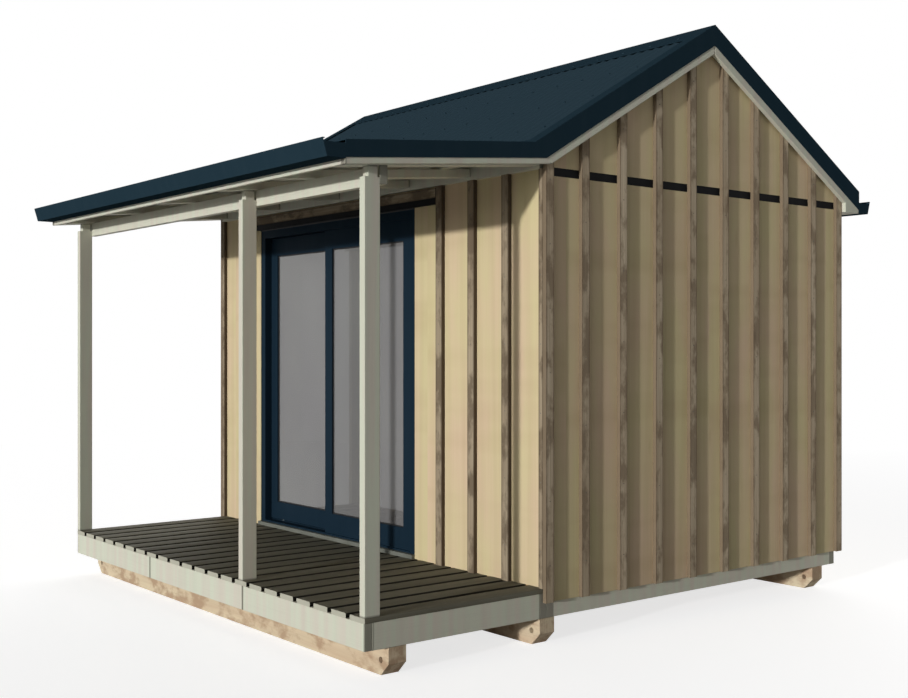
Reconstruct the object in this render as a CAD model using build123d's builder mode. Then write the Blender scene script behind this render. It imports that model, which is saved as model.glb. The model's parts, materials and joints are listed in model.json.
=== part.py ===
from build123d import *
import os
from math import cos, floor, radians, sin, tan

# Portable cabin on timber skids: one room clad in plywood and battens, a gable roof, and a
# veranda roof over a deck along the front.
# +X runs along the ridge, -Y is the veranda side, +Z is up. The origin is on the ground under
# the middle of the whole cabin. All lengths are millimetres.

# Floor plan
frame_length = 3600.0
frame_width = 2645.0
deck_depth = 1185.0

# Skids
skid_width = 107.0
skid_height = 150.0
skid_end_inset = 10.0
skid_toe = 65.0
front_skid_inset = 147.0
middle_skid_reach = 40.0
back_skid_inset = 122.0
tow_hole_diameter = 32.0
tow_hole_inset = 66.0
tow_hole_drop = 75.0

# Floor and deck
joist_depth = 134.0
joist_thickness = 45.0
joist_pitch = 450.0
floor_thickness = 26.0
fascia_board_length = 1200.0
board_joint = 4.0

# Walls and cladding
wall_thickness = 100.0
lintel_depth = 155.0
cladding_thickness = 12.0
cladding_lap = 47.0
gable_strip_drop = 31.0
gable_strip_height = 47.0
batten_width = 60.0
batten_thickness = 25.0
batten_pitch = 300.0

# Roof framing
roof_pitch = 30.4
rafter_depth = 90.0
rafter_thickness = 45.0
rafter_pitch = 600.0
birdsmouth_seat = 34.0
ridge_board_thickness = 25.0
ridge_board_depth = 140.0
purlin_width = 70.0
purlin_thickness = 45.0
purlin_shares = (0.07, 0.35, 0.63, 0.91)
front_overhang = 143.5
back_overhang = 165.0
fascia_thickness = 25.0
fascia_depth = 120.0
soffit_thickness = 9.0

# Roofing and flashings
corrugation_pitch = 76.0
corrugation_depth = 17.0
sheet_thickness = 3.0
sheet_gap = 5.0
sheet_edge_inset = 8.0
eave_lap = 40.0
flashing_thickness = 4.0
flashing_cover = 100.0
ridge_cap_wing = 150.0
barge_thickness = 30.0
barge_depth = 127.0
barge_flashing_depth = 108.0
gutter_width = 128.0
gutter_base_width = 103.0
gutter_front_height = 86.0
gutter_back_height = 56.0
gutter_thickness = 3.0
gutter_lip = 14.0
gutter_cap_drop = 16.0
back_gutter_rise = 2.0

# Veranda
veranda_pitch = 5.35
veranda_overhang = 155.5
veranda_fascia_thickness = 22.0
veranda_rafter_pitch = 800.0
veranda_rafter_width = 90.0
veranda_rafter_depth = 45.0
veranda_purlin_shares = (0.08, 0.5, 0.92)
veranda_flashing_depth = 84.0
veranda_gutter_rise = 25.0
ledger_thickness = 45.0
ledger_depth = 90.0
side_bay = 1200.0
post_width = 45.0
post_depth = 90.0
post_tongue_height = 52.0
post_front_cut = 20.0
post_back_cut = 14.0
beam_depth = 90.0
beam_thickness = 45.0

# Sliding door
door_width = 1890.0
door_height = 2124.0
door_centre = -315.0
door_sill_thickness = 26.0
door_frame_depth = 100.0
door_frame_proud = 8.0
jamb_width = 55.0
threshold_height = 12.0
track_height = 6.0
track_width = 8.0
leaf_thickness = 34.0
leaf_face_inset = 10.0
leaf_gap = 6.0
leaf_clearance = 6.0
leaf_overlap = 190.0
stile_width = 85.0
rail_depth = 124.0
glass_thickness = 10.0
guide_depth = 20.0
guide_groove_width = 20.0
roller_radius = 12.0
roller_width = 10.0
roller_pin_radius = 3.0
roller_pocket_clearance = 2.0
roller_play = 0.3
roller_inset = 150.0
head_flashing_gap = 6.0
head_flashing_height = 38.0

# Gable window, centred on a batten line counted from the front corner
window_batten = 3
window_width = 535.0
window_sill = 379.0
window_head_drop = 269.0
window_frame_depth = 80.0
window_frame_proud = 20.0
window_stile_width = 50.0
window_bottom_rail_depth = 170.0

# Ends of the frame along X
half_length = frame_length / 2
cladding_end = half_length + cladding_thickness
batten_end = cladding_end + batten_thickness
barge_end = batten_end + barge_thickness
verge_end = barge_end + flashing_thickness

# Lines along Y, with the gutters' outer faces at equal distances from the origin
front_reach = deck_depth + veranda_overhang + gutter_width
back_reach = back_overhang + fascia_thickness + gutter_width
ridge_y = (front_reach - back_reach) / 2
front = ridge_y - frame_width / 2
back = ridge_y + frame_width / 2
deck_front = front - deck_depth
fold_y = front - front_overhang
back_fascia_y = back + back_overhang
back_eave = back_fascia_y + fascia_thickness
veranda_eave = deck_front - veranda_overhang
veranda_fascia_y = veranda_eave + veranda_fascia_thickness
front_batten_y = front - cladding_thickness - batten_thickness
back_batten_y = back + cladding_thickness + batten_thickness

# Levels above the ground
joist_top = skid_height + joist_depth
floor_top = joist_top + floor_thickness
door_bottom = floor_top + door_sill_thickness
door_top = door_bottom + door_height
plate_z = door_top + lintel_depth
cladding_bottom = joist_top - cladding_lap
strip_top = plate_z - gable_strip_drop
strip_bottom = strip_top - gable_strip_height

# Main roof, measured square from the plane of the rafter tops
pitch_sin = sin(radians(roof_pitch))
pitch_cos = cos(radians(roof_pitch))
pitch_tan = tan(radians(roof_pitch))
ridge_z = plate_z + (frame_width / 2 - birdsmouth_seat) * pitch_tan + rafter_depth / pitch_cos
sheet_top = purlin_thickness + corrugation_depth + sheet_thickness
flashing_top = sheet_top + flashing_thickness
barge_bottom = purlin_thickness - barge_depth
barge_flashing_bottom = flashing_top - barge_flashing_depth


def roof_z(y, rise):
    """Height of the main roof at y, on the layer that lies rise above the rafter tops."""
    return ridge_z - abs(y - ridge_y) * pitch_tan + rise / pitch_cos


def roof_point(side, run, rise):
    """Point (y, z) at a distance run down the slope from the ridge, on the front (-1) or back (1)."""
    y = ridge_y + side * (run * pitch_cos + rise * pitch_sin)
    return y, ridge_z - run * pitch_sin + rise * pitch_cos


# Veranda roof, measured from the fold where it meets the main roof
fall_sin = sin(radians(veranda_pitch))
fall_cos = cos(radians(veranda_pitch))
fall_tan = tan(radians(veranda_pitch))
fold_z = roof_z(fold_y, flashing_top) - flashing_top / fall_cos
veranda_flashing_bottom = flashing_top - veranda_flashing_depth


def veranda_z(y, rise):
    """Height of the veranda roof at y, on the layer that lies rise above its rafter tops."""
    return fold_z - (fold_y - y) * fall_tan + rise / fall_cos


def veranda_point(run, rise):
    """Point (y, z) at a distance run down the veranda roof from the fold."""
    return fold_y - run * fall_cos - rise * fall_sin, fold_z - run * fall_sin + rise * fall_cos


def mitre(roof_rise, veranda_rise):
    """Point (y, z) where a layer of the main roof's front slope meets a layer of the veranda roof."""
    drop = veranda_z(ridge_y, veranda_rise) - roof_z(ridge_y, roof_rise)
    y = ridge_y + drop / (pitch_tan - fall_tan)
    return y, veranda_z(y, veranda_rise)


cladding_top = roof_z(front_batten_y, -rafter_depth)
post_shoulder = veranda_z(deck_front + post_front_cut, -veranda_rafter_depth) - post_tongue_height

# Door lines
door_left = door_centre - door_width / 2
door_right = door_centre + door_width / 2
door_front = front - door_frame_proud
clear_left = door_left + jamb_width
clear_right = door_right - jamb_width
threshold_top = door_bottom + threshold_height
clear_top = door_top - jamb_width
leaf_width = (clear_right - clear_left + leaf_overlap) / 2
fixed_leaf_y = door_front + leaf_face_inset
sliding_leaf_y = fixed_leaf_y + leaf_thickness + leaf_gap
track_y = sliding_leaf_y + leaf_thickness / 2
sliding_bottom = threshold_top + track_height + leaf_clearance
sliding_top = clear_top - leaf_clearance
sliding_left = clear_left + leaf_clearance
sliding_right = sliding_left + leaf_width
fixed_left = clear_right - leaf_width
leaf_glass_z = (sliding_bottom + rail_depth, sliding_top - rail_depth)
head_flashing_bottom = door_top + head_flashing_gap
head_flashing_top = head_flashing_bottom + head_flashing_height

# Window lines on the left gable
window_y = front_batten_y + batten_pitch * window_batten
window_front = window_y - window_width / 2
window_back = window_y + window_width / 2
window_bottom = floor_top + window_sill
window_top = plate_z - window_head_drop


def block(x, y, z, mode=Mode.ADD):
    """Box between the two values given for each of x, y and z, in the part being built."""
    spans = (x, y, z)
    with Locations(tuple((low + high) / 2 for low, high in spans)):
        Box(*(high - low for low, high in spans), mode=mode)


def bar(outline, x_from, x_to):
    """Outline of (y, z) points drawn out along X, in the part being built."""
    with BuildSketch(Plane.YZ.offset(x_from), mode=Mode.PRIVATE) as section:
        with BuildLine():
            Polyline(*outline, close=True)
        make_face()
    extrude(section.sketch, amount=x_to - x_from)


def both_ends(outline, x_near, x_far):
    """The same bar at the right and at the left end of the cabin."""
    bar(outline, x_near, x_far)
    bar(outline, -x_far, -x_near)


def spread(first, last, pitch):
    """Evenly spaced places from first to last, no further apart than pitch."""
    gaps = -floor((first - last) / pitch)
    return [first + (last - first) * step / gaps for step in range(gaps + 1)]


def grid_lines(limit):
    """Places of the battens that fall inside a half width, on a grid of whole batten pitches."""
    count = floor(limit / batten_pitch)
    return [batten_pitch * step for step in range(-count, count + 1)]


def save(builder, name):
    """Name a finished piece and write it out."""
    builder.part.label = name
    export_step(builder.part, f"parts/{name}.step")


os.makedirs("parts", exist_ok=True)


# Skids: each end has its lower corner cut back like a sledge, and a hole to tow by
skid_end = half_length - skid_end_inset
tow_hole_x = skid_end - tow_hole_inset
tow_hole_z = skid_height - tow_hole_drop
skid_fronts = {
    "skid_front": deck_front + front_skid_inset,
    "skid_middle": front - middle_skid_reach,
    "skid_back": back - back_skid_inset - skid_width,
}
for skid_name, skid_y in skid_fronts.items():
    with BuildPart() as skid:
        with BuildSketch(Plane.XZ.offset(-skid_y - skid_width)):
            with BuildLine():
                Polyline(
                    (-skid_end, skid_height),
                    (skid_end, skid_height),
                    (skid_end, skid_toe),
                    (skid_end - skid_toe, 0),
                    (skid_toe - skid_end, 0),
                    (-skid_end, skid_toe),
                    close=True,
                )
            make_face()
            with Locations((-tow_hole_x, tow_hole_z), (tow_hole_x, tow_hole_z)):
                Circle(tow_hole_diameter / 2, mode=Mode.SUBTRACT)
        extrude(amount=skid_width)
    save(skid, skid_name)

# Floor frame and deck frame, side by side on the skids: long boards run the full length, with
# end boards between them. The floor's joists run across the cabin, and the deck's run along it,
# under boards that run from front to back
joist_span = half_length - joist_thickness
joist_levels = (skid_height, joist_top)
floor_joist_places = spread(-joist_span - joist_thickness / 2, joist_span + joist_thickness / 2, joist_pitch)
front_skid_middle = skid_fronts["skid_front"] + skid_width / 2
deck_joist_places = spread(front_skid_middle, front - joist_thickness / 2, joist_pitch)
board_ends = ((joist_span, half_length), (-half_length, -joist_span))
floor_bay = (front + joist_thickness, back - joist_thickness)
deck_bay = (deck_front + joist_thickness, front - joist_thickness)

with BuildPart() as floor_side_boards:
    block((-half_length, half_length), (front, front + joist_thickness), joist_levels)
    block((-half_length, half_length), (back - joist_thickness, back), joist_levels)
save(floor_side_boards, "floor_side_boards")

with BuildPart() as floor_end_boards:
    for end_x in board_ends:
        block(end_x, floor_bay, joist_levels)
save(floor_end_boards, "floor_end_boards")

with BuildPart() as deck_end_boards:
    for end_x in board_ends:
        block(end_x, deck_bay, joist_levels)
save(deck_end_boards, "deck_end_boards")

with BuildPart() as deck_back_board:
    block((-half_length, half_length), (front - joist_thickness, front), joist_levels)
save(deck_back_board, "deck_back_board")

with BuildPart() as floor_joists:
    for x in floor_joist_places[1:-1]:
        block((x - joist_thickness / 2, x + joist_thickness / 2), floor_bay, joist_levels)
    for y in deck_joist_places[:-1]:
        block((-joist_span, joist_span), (y - joist_thickness / 2, y + joist_thickness / 2), joist_levels)
save(floor_joists, "floor_joists")

with BuildPart() as deck_fascia:
    fascia_ends = spread(-half_length, half_length, fascia_board_length)
    for left, right in zip(fascia_ends, fascia_ends[1:]):
        block(
            (left + board_joint / 2, right - board_joint / 2),
            (deck_front, deck_front + joist_thickness),
            joist_levels,
        )
save(deck_fascia, "deck_fascia")

with BuildPart() as floor_panel:
    block((-half_length, half_length), (front, back), (joist_top, floor_top))
save(floor_panel, "floor_panel")

with BuildPart() as decking:
    block((-half_length, half_length), (deck_front, front), (joist_top, floor_top))
save(decking, "decking")

# Wall frames with their lining: the long walls carry the rafters, the gable walls rise to the purlins
wall_inside = frame_width / 2 - wall_thickness
long_wall_levels = (floor_top, plate_z)

with BuildPart() as front_wall_left:
    block((-half_length, door_left), (front, front + wall_thickness), long_wall_levels)
save(front_wall_left, "front_wall_left")

with BuildPart() as front_wall_right:
    block((door_right, half_length), (front, front + wall_thickness), long_wall_levels)
save(front_wall_right, "front_wall_right")

with BuildPart() as front_wall_head:
    block((door_left, door_right), (front, front + wall_thickness), (door_top, plate_z))
save(front_wall_head, "front_wall_head")

with BuildPart() as back_wall:
    block((-half_length, half_length), (back - wall_thickness, back), long_wall_levels)
save(back_wall, "back_wall")

gable_wall_outline = [
    (ridge_y - wall_inside, floor_top),
    (ridge_y + wall_inside, floor_top),
    (ridge_y + wall_inside, plate_z),
    (back, plate_z),
    (back, roof_z(back, 0)),
    (ridge_y, ridge_z),
    (front, roof_z(front, 0)),
    (front, plate_z),
    (ridge_y - wall_inside, plate_z),
]

with BuildPart() as right_wall:
    bar(gable_wall_outline, half_length - wall_thickness, half_length)
save(right_wall, "right_wall")

with BuildPart() as left_wall:
    bar(gable_wall_outline, -half_length, wall_thickness - half_length)
    block(
        (-half_length, wall_thickness - half_length),
        (window_front, window_back),
        (window_bottom, window_top),
        mode=Mode.SUBTRACT,
    )
save(left_wall, "left_wall")

# Plywood cladding; on the gables a flashing parts the lower sheets from the upper ones
gable_front = front - cladding_thickness
gable_back = back + cladding_thickness
upper_sheet_outline = [
    (gable_front, strip_top),
    (gable_back, strip_top),
    (gable_back, roof_z(gable_back, 0)),
    (ridge_y, ridge_z),
    (gable_front, roof_z(gable_front, 0)),
]

with BuildPart() as front_cladding:
    block((-half_length, half_length), (gable_front, front), (floor_top, cladding_top))
    block((door_left, door_right), (gable_front, front), (floor_top, door_top), mode=Mode.SUBTRACT)
save(front_cladding, "front_cladding")

with BuildPart() as back_cladding:
    block((-half_length, half_length), (back, gable_back), (cladding_bottom, cladding_top))
save(back_cladding, "back_cladding")

with BuildPart() as right_cladding:
    block((half_length, cladding_end), (gable_front, gable_back), (cladding_bottom, strip_bottom))
    bar(upper_sheet_outline, half_length, cladding_end)
save(right_cladding, "right_cladding")

with BuildPart() as left_cladding:
    block((-cladding_end, -half_length), (gable_front, gable_back), (cladding_bottom, strip_bottom))
    bar(upper_sheet_outline, -cladding_end, -half_length)
    block(
        (-cladding_end, -half_length),
        (window_front, window_back),
        (window_bottom, window_top),
        mode=Mode.SUBTRACT,
    )
save(left_cladding, "left_cladding")

with BuildPart() as gable_flashings:
    for end_x in ((half_length, cladding_end), (-cladding_end, -half_length)):
        block(end_x, (gable_front, gable_back), (strip_bottom, strip_top))
save(gable_flashings, "gable_flashings")

# Battens over the plywood joints, and corner boards where two walls meet
corner_x = batten_end - batten_width
long_wall_places = grid_lines(corner_x - batten_width)
left_of_door = [x for x in long_wall_places if x + batten_width / 2 <= door_left]
right_of_door = [x for x in long_wall_places if x - batten_width / 2 >= door_right]
head_left = max([-corner_x] + [x + batten_width / 2 for x in left_of_door])
head_right = min([corner_x] + [x - batten_width / 2 for x in right_of_door])


def wall_battens(wall_y, bottom, places):
    """Upright battens on a long wall, with a corner board at each end."""
    depth = (wall_y, wall_y + batten_thickness)
    block((corner_x, cladding_end), depth, (bottom, cladding_top))
    block((-cladding_end, -corner_x), depth, (bottom, cladding_top))
    for x in places:
        block((x - batten_width / 2, x + batten_width / 2), depth, (bottom, cladding_top))


def gable_batten(low_y, high_y, bottom, x_from, x_to):
    """One batten on a gable wall, cut to the slope of the roof at its top."""
    outline = [(low_y, bottom), (high_y, bottom), (high_y, roof_z(high_y, 0)), (low_y, roof_z(low_y, 0))]
    bar(outline, x_from, x_to)


def gable_battens(x_from, x_to):
    """Battens on a gable wall, set out from its front corner, with a corner board at each end."""
    gable_batten(front_batten_y, front_batten_y + batten_width, cladding_bottom, x_from, x_to)
    gable_batten(back_batten_y - batten_width, back_batten_y, cladding_bottom, x_from, x_to)
    for line in range(1, floor((back_batten_y - front_batten_y - 2 * batten_width) / batten_pitch) + 1):
        y = front_batten_y + batten_pitch * line
        gable_batten(y - batten_width / 2, y + batten_width / 2, cladding_bottom, x_from, x_to)


with BuildPart() as front_battens:
    wall_battens(front_batten_y, floor_top, left_of_door + right_of_door)
    block(
        (head_left + board_joint, head_right - board_joint),
        (front_batten_y, gable_front),
        (head_flashing_top, head_flashing_top + batten_width),
    )
save(front_battens, "front_battens")

with BuildPart() as back_battens:
    wall_battens(gable_back, cladding_bottom, long_wall_places)
save(back_battens, "back_battens")

with BuildPart() as right_battens:
    gable_battens(cladding_end, batten_end)
save(right_battens, "right_battens")

with BuildPart() as left_battens:
    gable_battens(-batten_end, -cladding_end)
    block(
        (-batten_end, -cladding_end),
        (window_front, window_back),
        (window_bottom, window_top),
        mode=Mode.SUBTRACT,
    )
save(left_battens, "left_battens")

with BuildPart() as door_head_flashing:
    block((head_left, head_right), (front_batten_y, gable_front), (head_flashing_bottom, head_flashing_top))
save(door_head_flashing, "door_head_flashing")

# Main roof: rafters with a birdsmouth over the wall plates, purlins and corrugated sheets. The back
# eave is boxed in, so the rafter tails are cut level over its soffit
ridge_face = ridge_board_thickness / 2
rafter_limit = half_length - wall_thickness
back_fascia_bottom = roof_z(back_eave, purlin_thickness) - fascia_depth
soffit_top = back_fascia_bottom + soffit_thickness
tail_cut_y = ridge_y + (roof_z(ridge_y, -rafter_depth) - soffit_top) / pitch_tan
front_rafter_outline = [
    (ridge_y - ridge_face, roof_z(ridge_y - ridge_face, 0)),
    (front, roof_z(front, 0)),
    (front, plate_z),
    (front + birdsmouth_seat, plate_z),
    (ridge_y - ridge_face, roof_z(ridge_y - ridge_face, -rafter_depth)),
]
back_rafter_outline = [
    (ridge_y + ridge_face, roof_z(ridge_y + ridge_face, 0)),
    (back_fascia_y, roof_z(back_fascia_y, 0)),
    (back_fascia_y, soffit_top),
    (tail_cut_y, soffit_top),
    (back, roof_z(back, -rafter_depth)),
    (back, plate_z),
    (back - birdsmouth_seat, plate_z),
    (ridge_y + ridge_face, roof_z(ridge_y + ridge_face, -rafter_depth)),
]

with BuildPart() as rafters:
    for x in spread(-rafter_limit, rafter_limit, rafter_pitch)[1:-1]:
        bar(front_rafter_outline, x - rafter_thickness / 2, x + rafter_thickness / 2)
        bar(back_rafter_outline, x - rafter_thickness / 2, x + rafter_thickness / 2)
save(rafters, "rafters")

with BuildPart() as ridge_board:
    ridge_board_top = roof_z(ridge_y + ridge_face, 0)
    block(
        (-rafter_limit, rafter_limit),
        (ridge_y - ridge_face, ridge_y + ridge_face),
        (ridge_board_top - ridge_board_depth, ridge_board_top),
    )
save(ridge_board, "ridge_board")

front_run = (frame_width / 2) / pitch_cos
back_run = (frame_width / 2 + back_overhang) / pitch_cos

with BuildPart() as roof_purlins:
    for side, slope in ((-1, front_run), (1, back_run)):
        for share in purlin_shares:
            top_edge = slope * share - purlin_width / 2
            low_edge = slope * share + purlin_width / 2
            bar(
                [
                    roof_point(side, top_edge, 0),
                    roof_point(side, low_edge, 0),
                    roof_point(side, low_edge, purlin_thickness),
                    roof_point(side, top_edge, purlin_thickness),
                ],
                -batten_end,
                batten_end,
            )
save(roof_purlins, "roof_purlins")

sheet_waves = floor(2 * (barge_end - sheet_edge_inset) / corrugation_pitch)
sheet_half = sheet_waves * corrugation_pitch / 2
facets_per_wave = 6


def corrugated_sheet(plane, length):
    """Sheet of whole corrugations across X on the purlin tops, drawn out down the slope."""
    step = corrugation_pitch / facets_per_wave
    amplitude = corrugation_depth / 2 / sin(radians(360 / facets_per_wave))
    middle = purlin_thickness + corrugation_depth / 2
    under = []
    for facet in range(sheet_waves * facets_per_wave + 1):
        wave = sin(radians(360 * facet / facets_per_wave))
        under.append((facet * step - sheet_half, middle + amplitude * wave))
    over = [(x, rise + sheet_thickness) for x, rise in reversed(under)]
    with BuildSketch(plane, mode=Mode.PRIVATE) as section:
        with BuildLine():
            Polyline(*under, *over, close=True)
        make_face()
    extrude(section.sketch, amount=length)


def roof_plane(side, run):
    """Plane square across the main roof at a distance run down the slope, facing down it."""
    y, z = roof_point(side, run, 0)
    return Plane(origin=(0, y, z), x_dir=(-side, 0, 0), z_dir=(0, side * pitch_cos, -pitch_sin))


def veranda_plane(run):
    """Plane square across the veranda roof at a distance run from the fold, facing down it."""
    y, z = veranda_point(run, 0)
    return Plane(origin=(0, y, z), x_dir=(1, 0, 0), z_dir=(0, -fall_cos, -fall_sin))


front_sheet_end = (ridge_y - fold_y - sheet_gap - sheet_top * pitch_sin) / pitch_cos
back_sheet_end = (back_eave + eave_lap - ridge_y - sheet_top * pitch_sin) / pitch_cos

with BuildPart() as roof_sheet_front:
    corrugated_sheet(roof_plane(-1, sheet_gap), front_sheet_end - sheet_gap)
save(roof_sheet_front, "roof_sheet_front")

with BuildPart() as roof_sheet_back:
    corrugated_sheet(roof_plane(1, sheet_gap), back_sheet_end - sheet_gap)
save(roof_sheet_back, "roof_sheet_back")

flashing_inner = verge_end - flashing_cover

with BuildPart() as ridge_cap:
    bar(
        [
            (ridge_y, roof_z(ridge_y, flashing_top)),
            roof_point(-1, ridge_cap_wing, flashing_top),
            roof_point(-1, ridge_cap_wing, sheet_top),
            (ridge_y, roof_z(ridge_y, sheet_top)),
            roof_point(1, ridge_cap_wing, sheet_top),
            roof_point(1, ridge_cap_wing, flashing_top),
        ],
        -flashing_inner,
        flashing_inner,
    )
save(ridge_cap, "ridge_cap")

# Verges: painted barge boards over the battens, capped by folded flashings. At the back each barge
# board widens into the end of the boxed eave
apex_gap = board_joint / 2

with BuildPart() as barge_boards:
    front_barge_outline = [
        (ridge_y - apex_gap, roof_z(ridge_y - apex_gap, purlin_thickness)),
        mitre(purlin_thickness, purlin_thickness),
        mitre(barge_bottom, -veranda_rafter_depth),
        (ridge_y - apex_gap, roof_z(ridge_y - apex_gap, barge_bottom)),
    ]
    back_barge_outline = [
        (ridge_y + apex_gap, roof_z(ridge_y + apex_gap, purlin_thickness)),
        (back_eave, roof_z(back_eave, purlin_thickness)),
        (back_eave, back_fascia_bottom),
        (back_batten_y, back_fascia_bottom),
        (back_batten_y, roof_z(back_batten_y, barge_bottom)),
        (ridge_y + apex_gap, roof_z(ridge_y + apex_gap, barge_bottom)),
    ]
    both_ends(front_barge_outline, batten_end, barge_end)
    both_ends(back_barge_outline, batten_end, barge_end)
save(barge_boards, "barge_boards")

with BuildPart() as barge_flashings:
    both_ends(
        [
            (ridge_y, roof_z(ridge_y, flashing_top)),
            mitre(flashing_top, flashing_top),
            mitre(barge_flashing_bottom, veranda_flashing_bottom),
            (ridge_y, roof_z(ridge_y, barge_flashing_bottom)),
            (back_eave, roof_z(back_eave, barge_flashing_bottom)),
            (back_eave, roof_z(back_eave, flashing_top)),
        ],
        barge_end,
        verge_end,
    )
    both_ends(
        [
            (ridge_y, roof_z(ridge_y, flashing_top)),
            mitre(flashing_top, flashing_top),
            mitre(sheet_top, sheet_top),
            (ridge_y, roof_z(ridge_y, sheet_top)),
            (back_eave, roof_z(back_eave, sheet_top)),
            (back_eave, roof_z(back_eave, flashing_top)),
        ],
        flashing_inner,
        barge_end,
    )
save(barge_flashings, "barge_flashings")


def gutter(wall_y, outward, bottom):
    """Gutter with a leaning front and a high lip, hung on a fascia at wall_y, with its end caps."""

    def front_out(up):
        return gutter_base_width + (gutter_width - gutter_base_width) * up / gutter_front_height

    def section(points):
        return [(wall_y + outward * out, bottom + up) for out, up in points]

    lip_under = gutter_front_height - gutter_thickness
    cap_top = gutter_front_height - gutter_cap_drop
    trough = [
        (0, 0),
        (gutter_base_width, 0),
        (gutter_width, gutter_front_height),
        (gutter_width - gutter_lip, gutter_front_height),
        (gutter_width - gutter_lip, lip_under),
        (front_out(lip_under) - gutter_thickness, lip_under),
        (front_out(gutter_thickness) - gutter_thickness, gutter_thickness),
        (gutter_thickness, gutter_thickness),
        (gutter_thickness, gutter_back_height),
        (0, gutter_back_height),
    ]
    cap = [(0, 0), (gutter_base_width, 0), (front_out(cap_top), cap_top), (0, cap_top)]
    bar(section(trough), -verge_end, verge_end)
    both_ends(section(cap), verge_end - gutter_thickness, verge_end)


with BuildPart() as back_fascia:
    bar(
        [
            (back_fascia_y, back_fascia_bottom),
            (back_eave, back_fascia_bottom),
            (back_eave, roof_z(back_eave, purlin_thickness)),
            (back_fascia_y, roof_z(back_fascia_y, purlin_thickness)),
        ],
        -batten_end,
        batten_end,
    )
save(back_fascia, "back_fascia")

with BuildPart() as back_soffit:
    block((-batten_end, batten_end), (back_batten_y, back_fascia_y), (back_fascia_bottom, soffit_top))
save(back_soffit, "back_soffit")

with BuildPart() as back_gutter:
    gutter(back_eave, 1, back_fascia_bottom + back_gutter_rise)
save(back_gutter, "back_gutter")

# Veranda: posts on the deck, a beam behind them, flat rafters and purlins, and a low corrugated roof
post_top_front = deck_front + post_front_cut
post_back = deck_front + post_depth
post_top_back = post_back - post_back_cut
post_outline = [
    (deck_front, floor_top),
    (post_back, floor_top),
    (post_back, post_shoulder),
    (post_top_back, post_shoulder),
    (post_top_back, veranda_z(post_top_back, -veranda_rafter_depth)),
    (post_top_front, veranda_z(post_top_front, -veranda_rafter_depth)),
    (post_top_front, post_shoulder),
    (deck_front, post_shoulder),
]
middle_post = half_length - side_bay - post_width / 2
post_places = {
    "veranda_post_left": -half_length + post_width / 2,
    "veranda_post_middle": middle_post,
    "veranda_post_right": half_length - post_width / 2,
}
for post_name, post_x in post_places.items():
    with BuildPart() as post:
        bar(post_outline, post_x - post_width / 2, post_x + post_width / 2)
    save(post, post_name)

with BuildPart() as veranda_beam:
    beam_back = post_back + beam_thickness
    beam_bottom = veranda_z(post_back, -veranda_rafter_depth) - beam_depth
    bar(
        [
            (post_back, beam_bottom),
            (beam_back, beam_bottom),
            (beam_back, veranda_z(beam_back, -veranda_rafter_depth)),
            (post_back, veranda_z(post_back, -veranda_rafter_depth)),
        ],
        -half_length,
        half_length,
    )
save(veranda_beam, "veranda_beam")

ledger_face = front - ledger_thickness

with BuildPart() as veranda_ledger:
    block((-half_length, half_length), (ledger_face, front), (cladding_top, cladding_top + ledger_depth))
save(veranda_ledger, "veranda_ledger")

with BuildPart() as veranda_rafters:
    rafter_end = half_length - veranda_rafter_width / 2
    main_bay_places = spread(-rafter_end, middle_post, veranda_rafter_pitch)
    side_bay_places = spread(middle_post, rafter_end, veranda_rafter_pitch)
    for x in main_bay_places + side_bay_places[1:]:
        bar(
            [
                (ledger_face, veranda_z(ledger_face, 0)),
                (ledger_face, veranda_z(ledger_face, -veranda_rafter_depth)),
                (veranda_fascia_y, veranda_z(veranda_fascia_y, -veranda_rafter_depth)),
                (veranda_fascia_y, veranda_z(veranda_fascia_y, 0)),
            ],
            x - veranda_rafter_width / 2,
            x + veranda_rafter_width / 2,
        )
save(veranda_rafters, "veranda_rafters")

veranda_run = (fold_y - veranda_fascia_y) / fall_cos

with BuildPart() as veranda_purlins:
    for share in veranda_purlin_shares:
        top_edge = veranda_run * share - purlin_width / 2
        low_edge = veranda_run * share + purlin_width / 2
        bar(
            [
                veranda_point(top_edge, 0),
                veranda_point(low_edge, 0),
                veranda_point(low_edge, purlin_thickness),
                veranda_point(top_edge, purlin_thickness),
            ],
            -batten_end,
            batten_end,
        )
save(veranda_purlins, "veranda_purlins")

veranda_sheet_start = (sheet_gap - purlin_thickness * fall_sin) / fall_cos
veranda_sheet_end = (fold_y - veranda_eave + eave_lap - sheet_top * fall_sin) / fall_cos

with BuildPart() as veranda_roof_sheet:
    corrugated_sheet(veranda_plane(veranda_sheet_start), veranda_sheet_end - veranda_sheet_start)
save(veranda_roof_sheet, "veranda_roof_sheet")

with BuildPart() as roof_fold_flashing:
    fold_run = (ridge_y - fold_y) / pitch_cos
    bar(
        [
            mitre(flashing_top, flashing_top),
            roof_point(-1, fold_run - flashing_cover, flashing_top),
            roof_point(-1, fold_run - flashing_cover, sheet_top),
            mitre(sheet_top, sheet_top),
            veranda_point(flashing_cover, sheet_top),
            veranda_point(flashing_cover, flashing_top),
        ],
        -flashing_inner,
        flashing_inner,
    )
save(roof_fold_flashing, "roof_fold_flashing")

with BuildPart() as veranda_fascia:
    bar(
        [
            (veranda_eave, veranda_z(veranda_eave, -veranda_rafter_depth)),
            (veranda_fascia_y, veranda_z(veranda_eave, -veranda_rafter_depth)),
            (veranda_fascia_y, veranda_z(veranda_fascia_y, purlin_thickness)),
            (veranda_eave, veranda_z(veranda_eave, purlin_thickness)),
        ],
        -batten_end,
        batten_end,
    )
save(veranda_fascia, "veranda_fascia")

with BuildPart() as veranda_gutter:
    gutter(veranda_eave, -1, veranda_z(veranda_eave, -veranda_rafter_depth) + veranda_gutter_rise)
save(veranda_gutter, "veranda_gutter")

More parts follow.
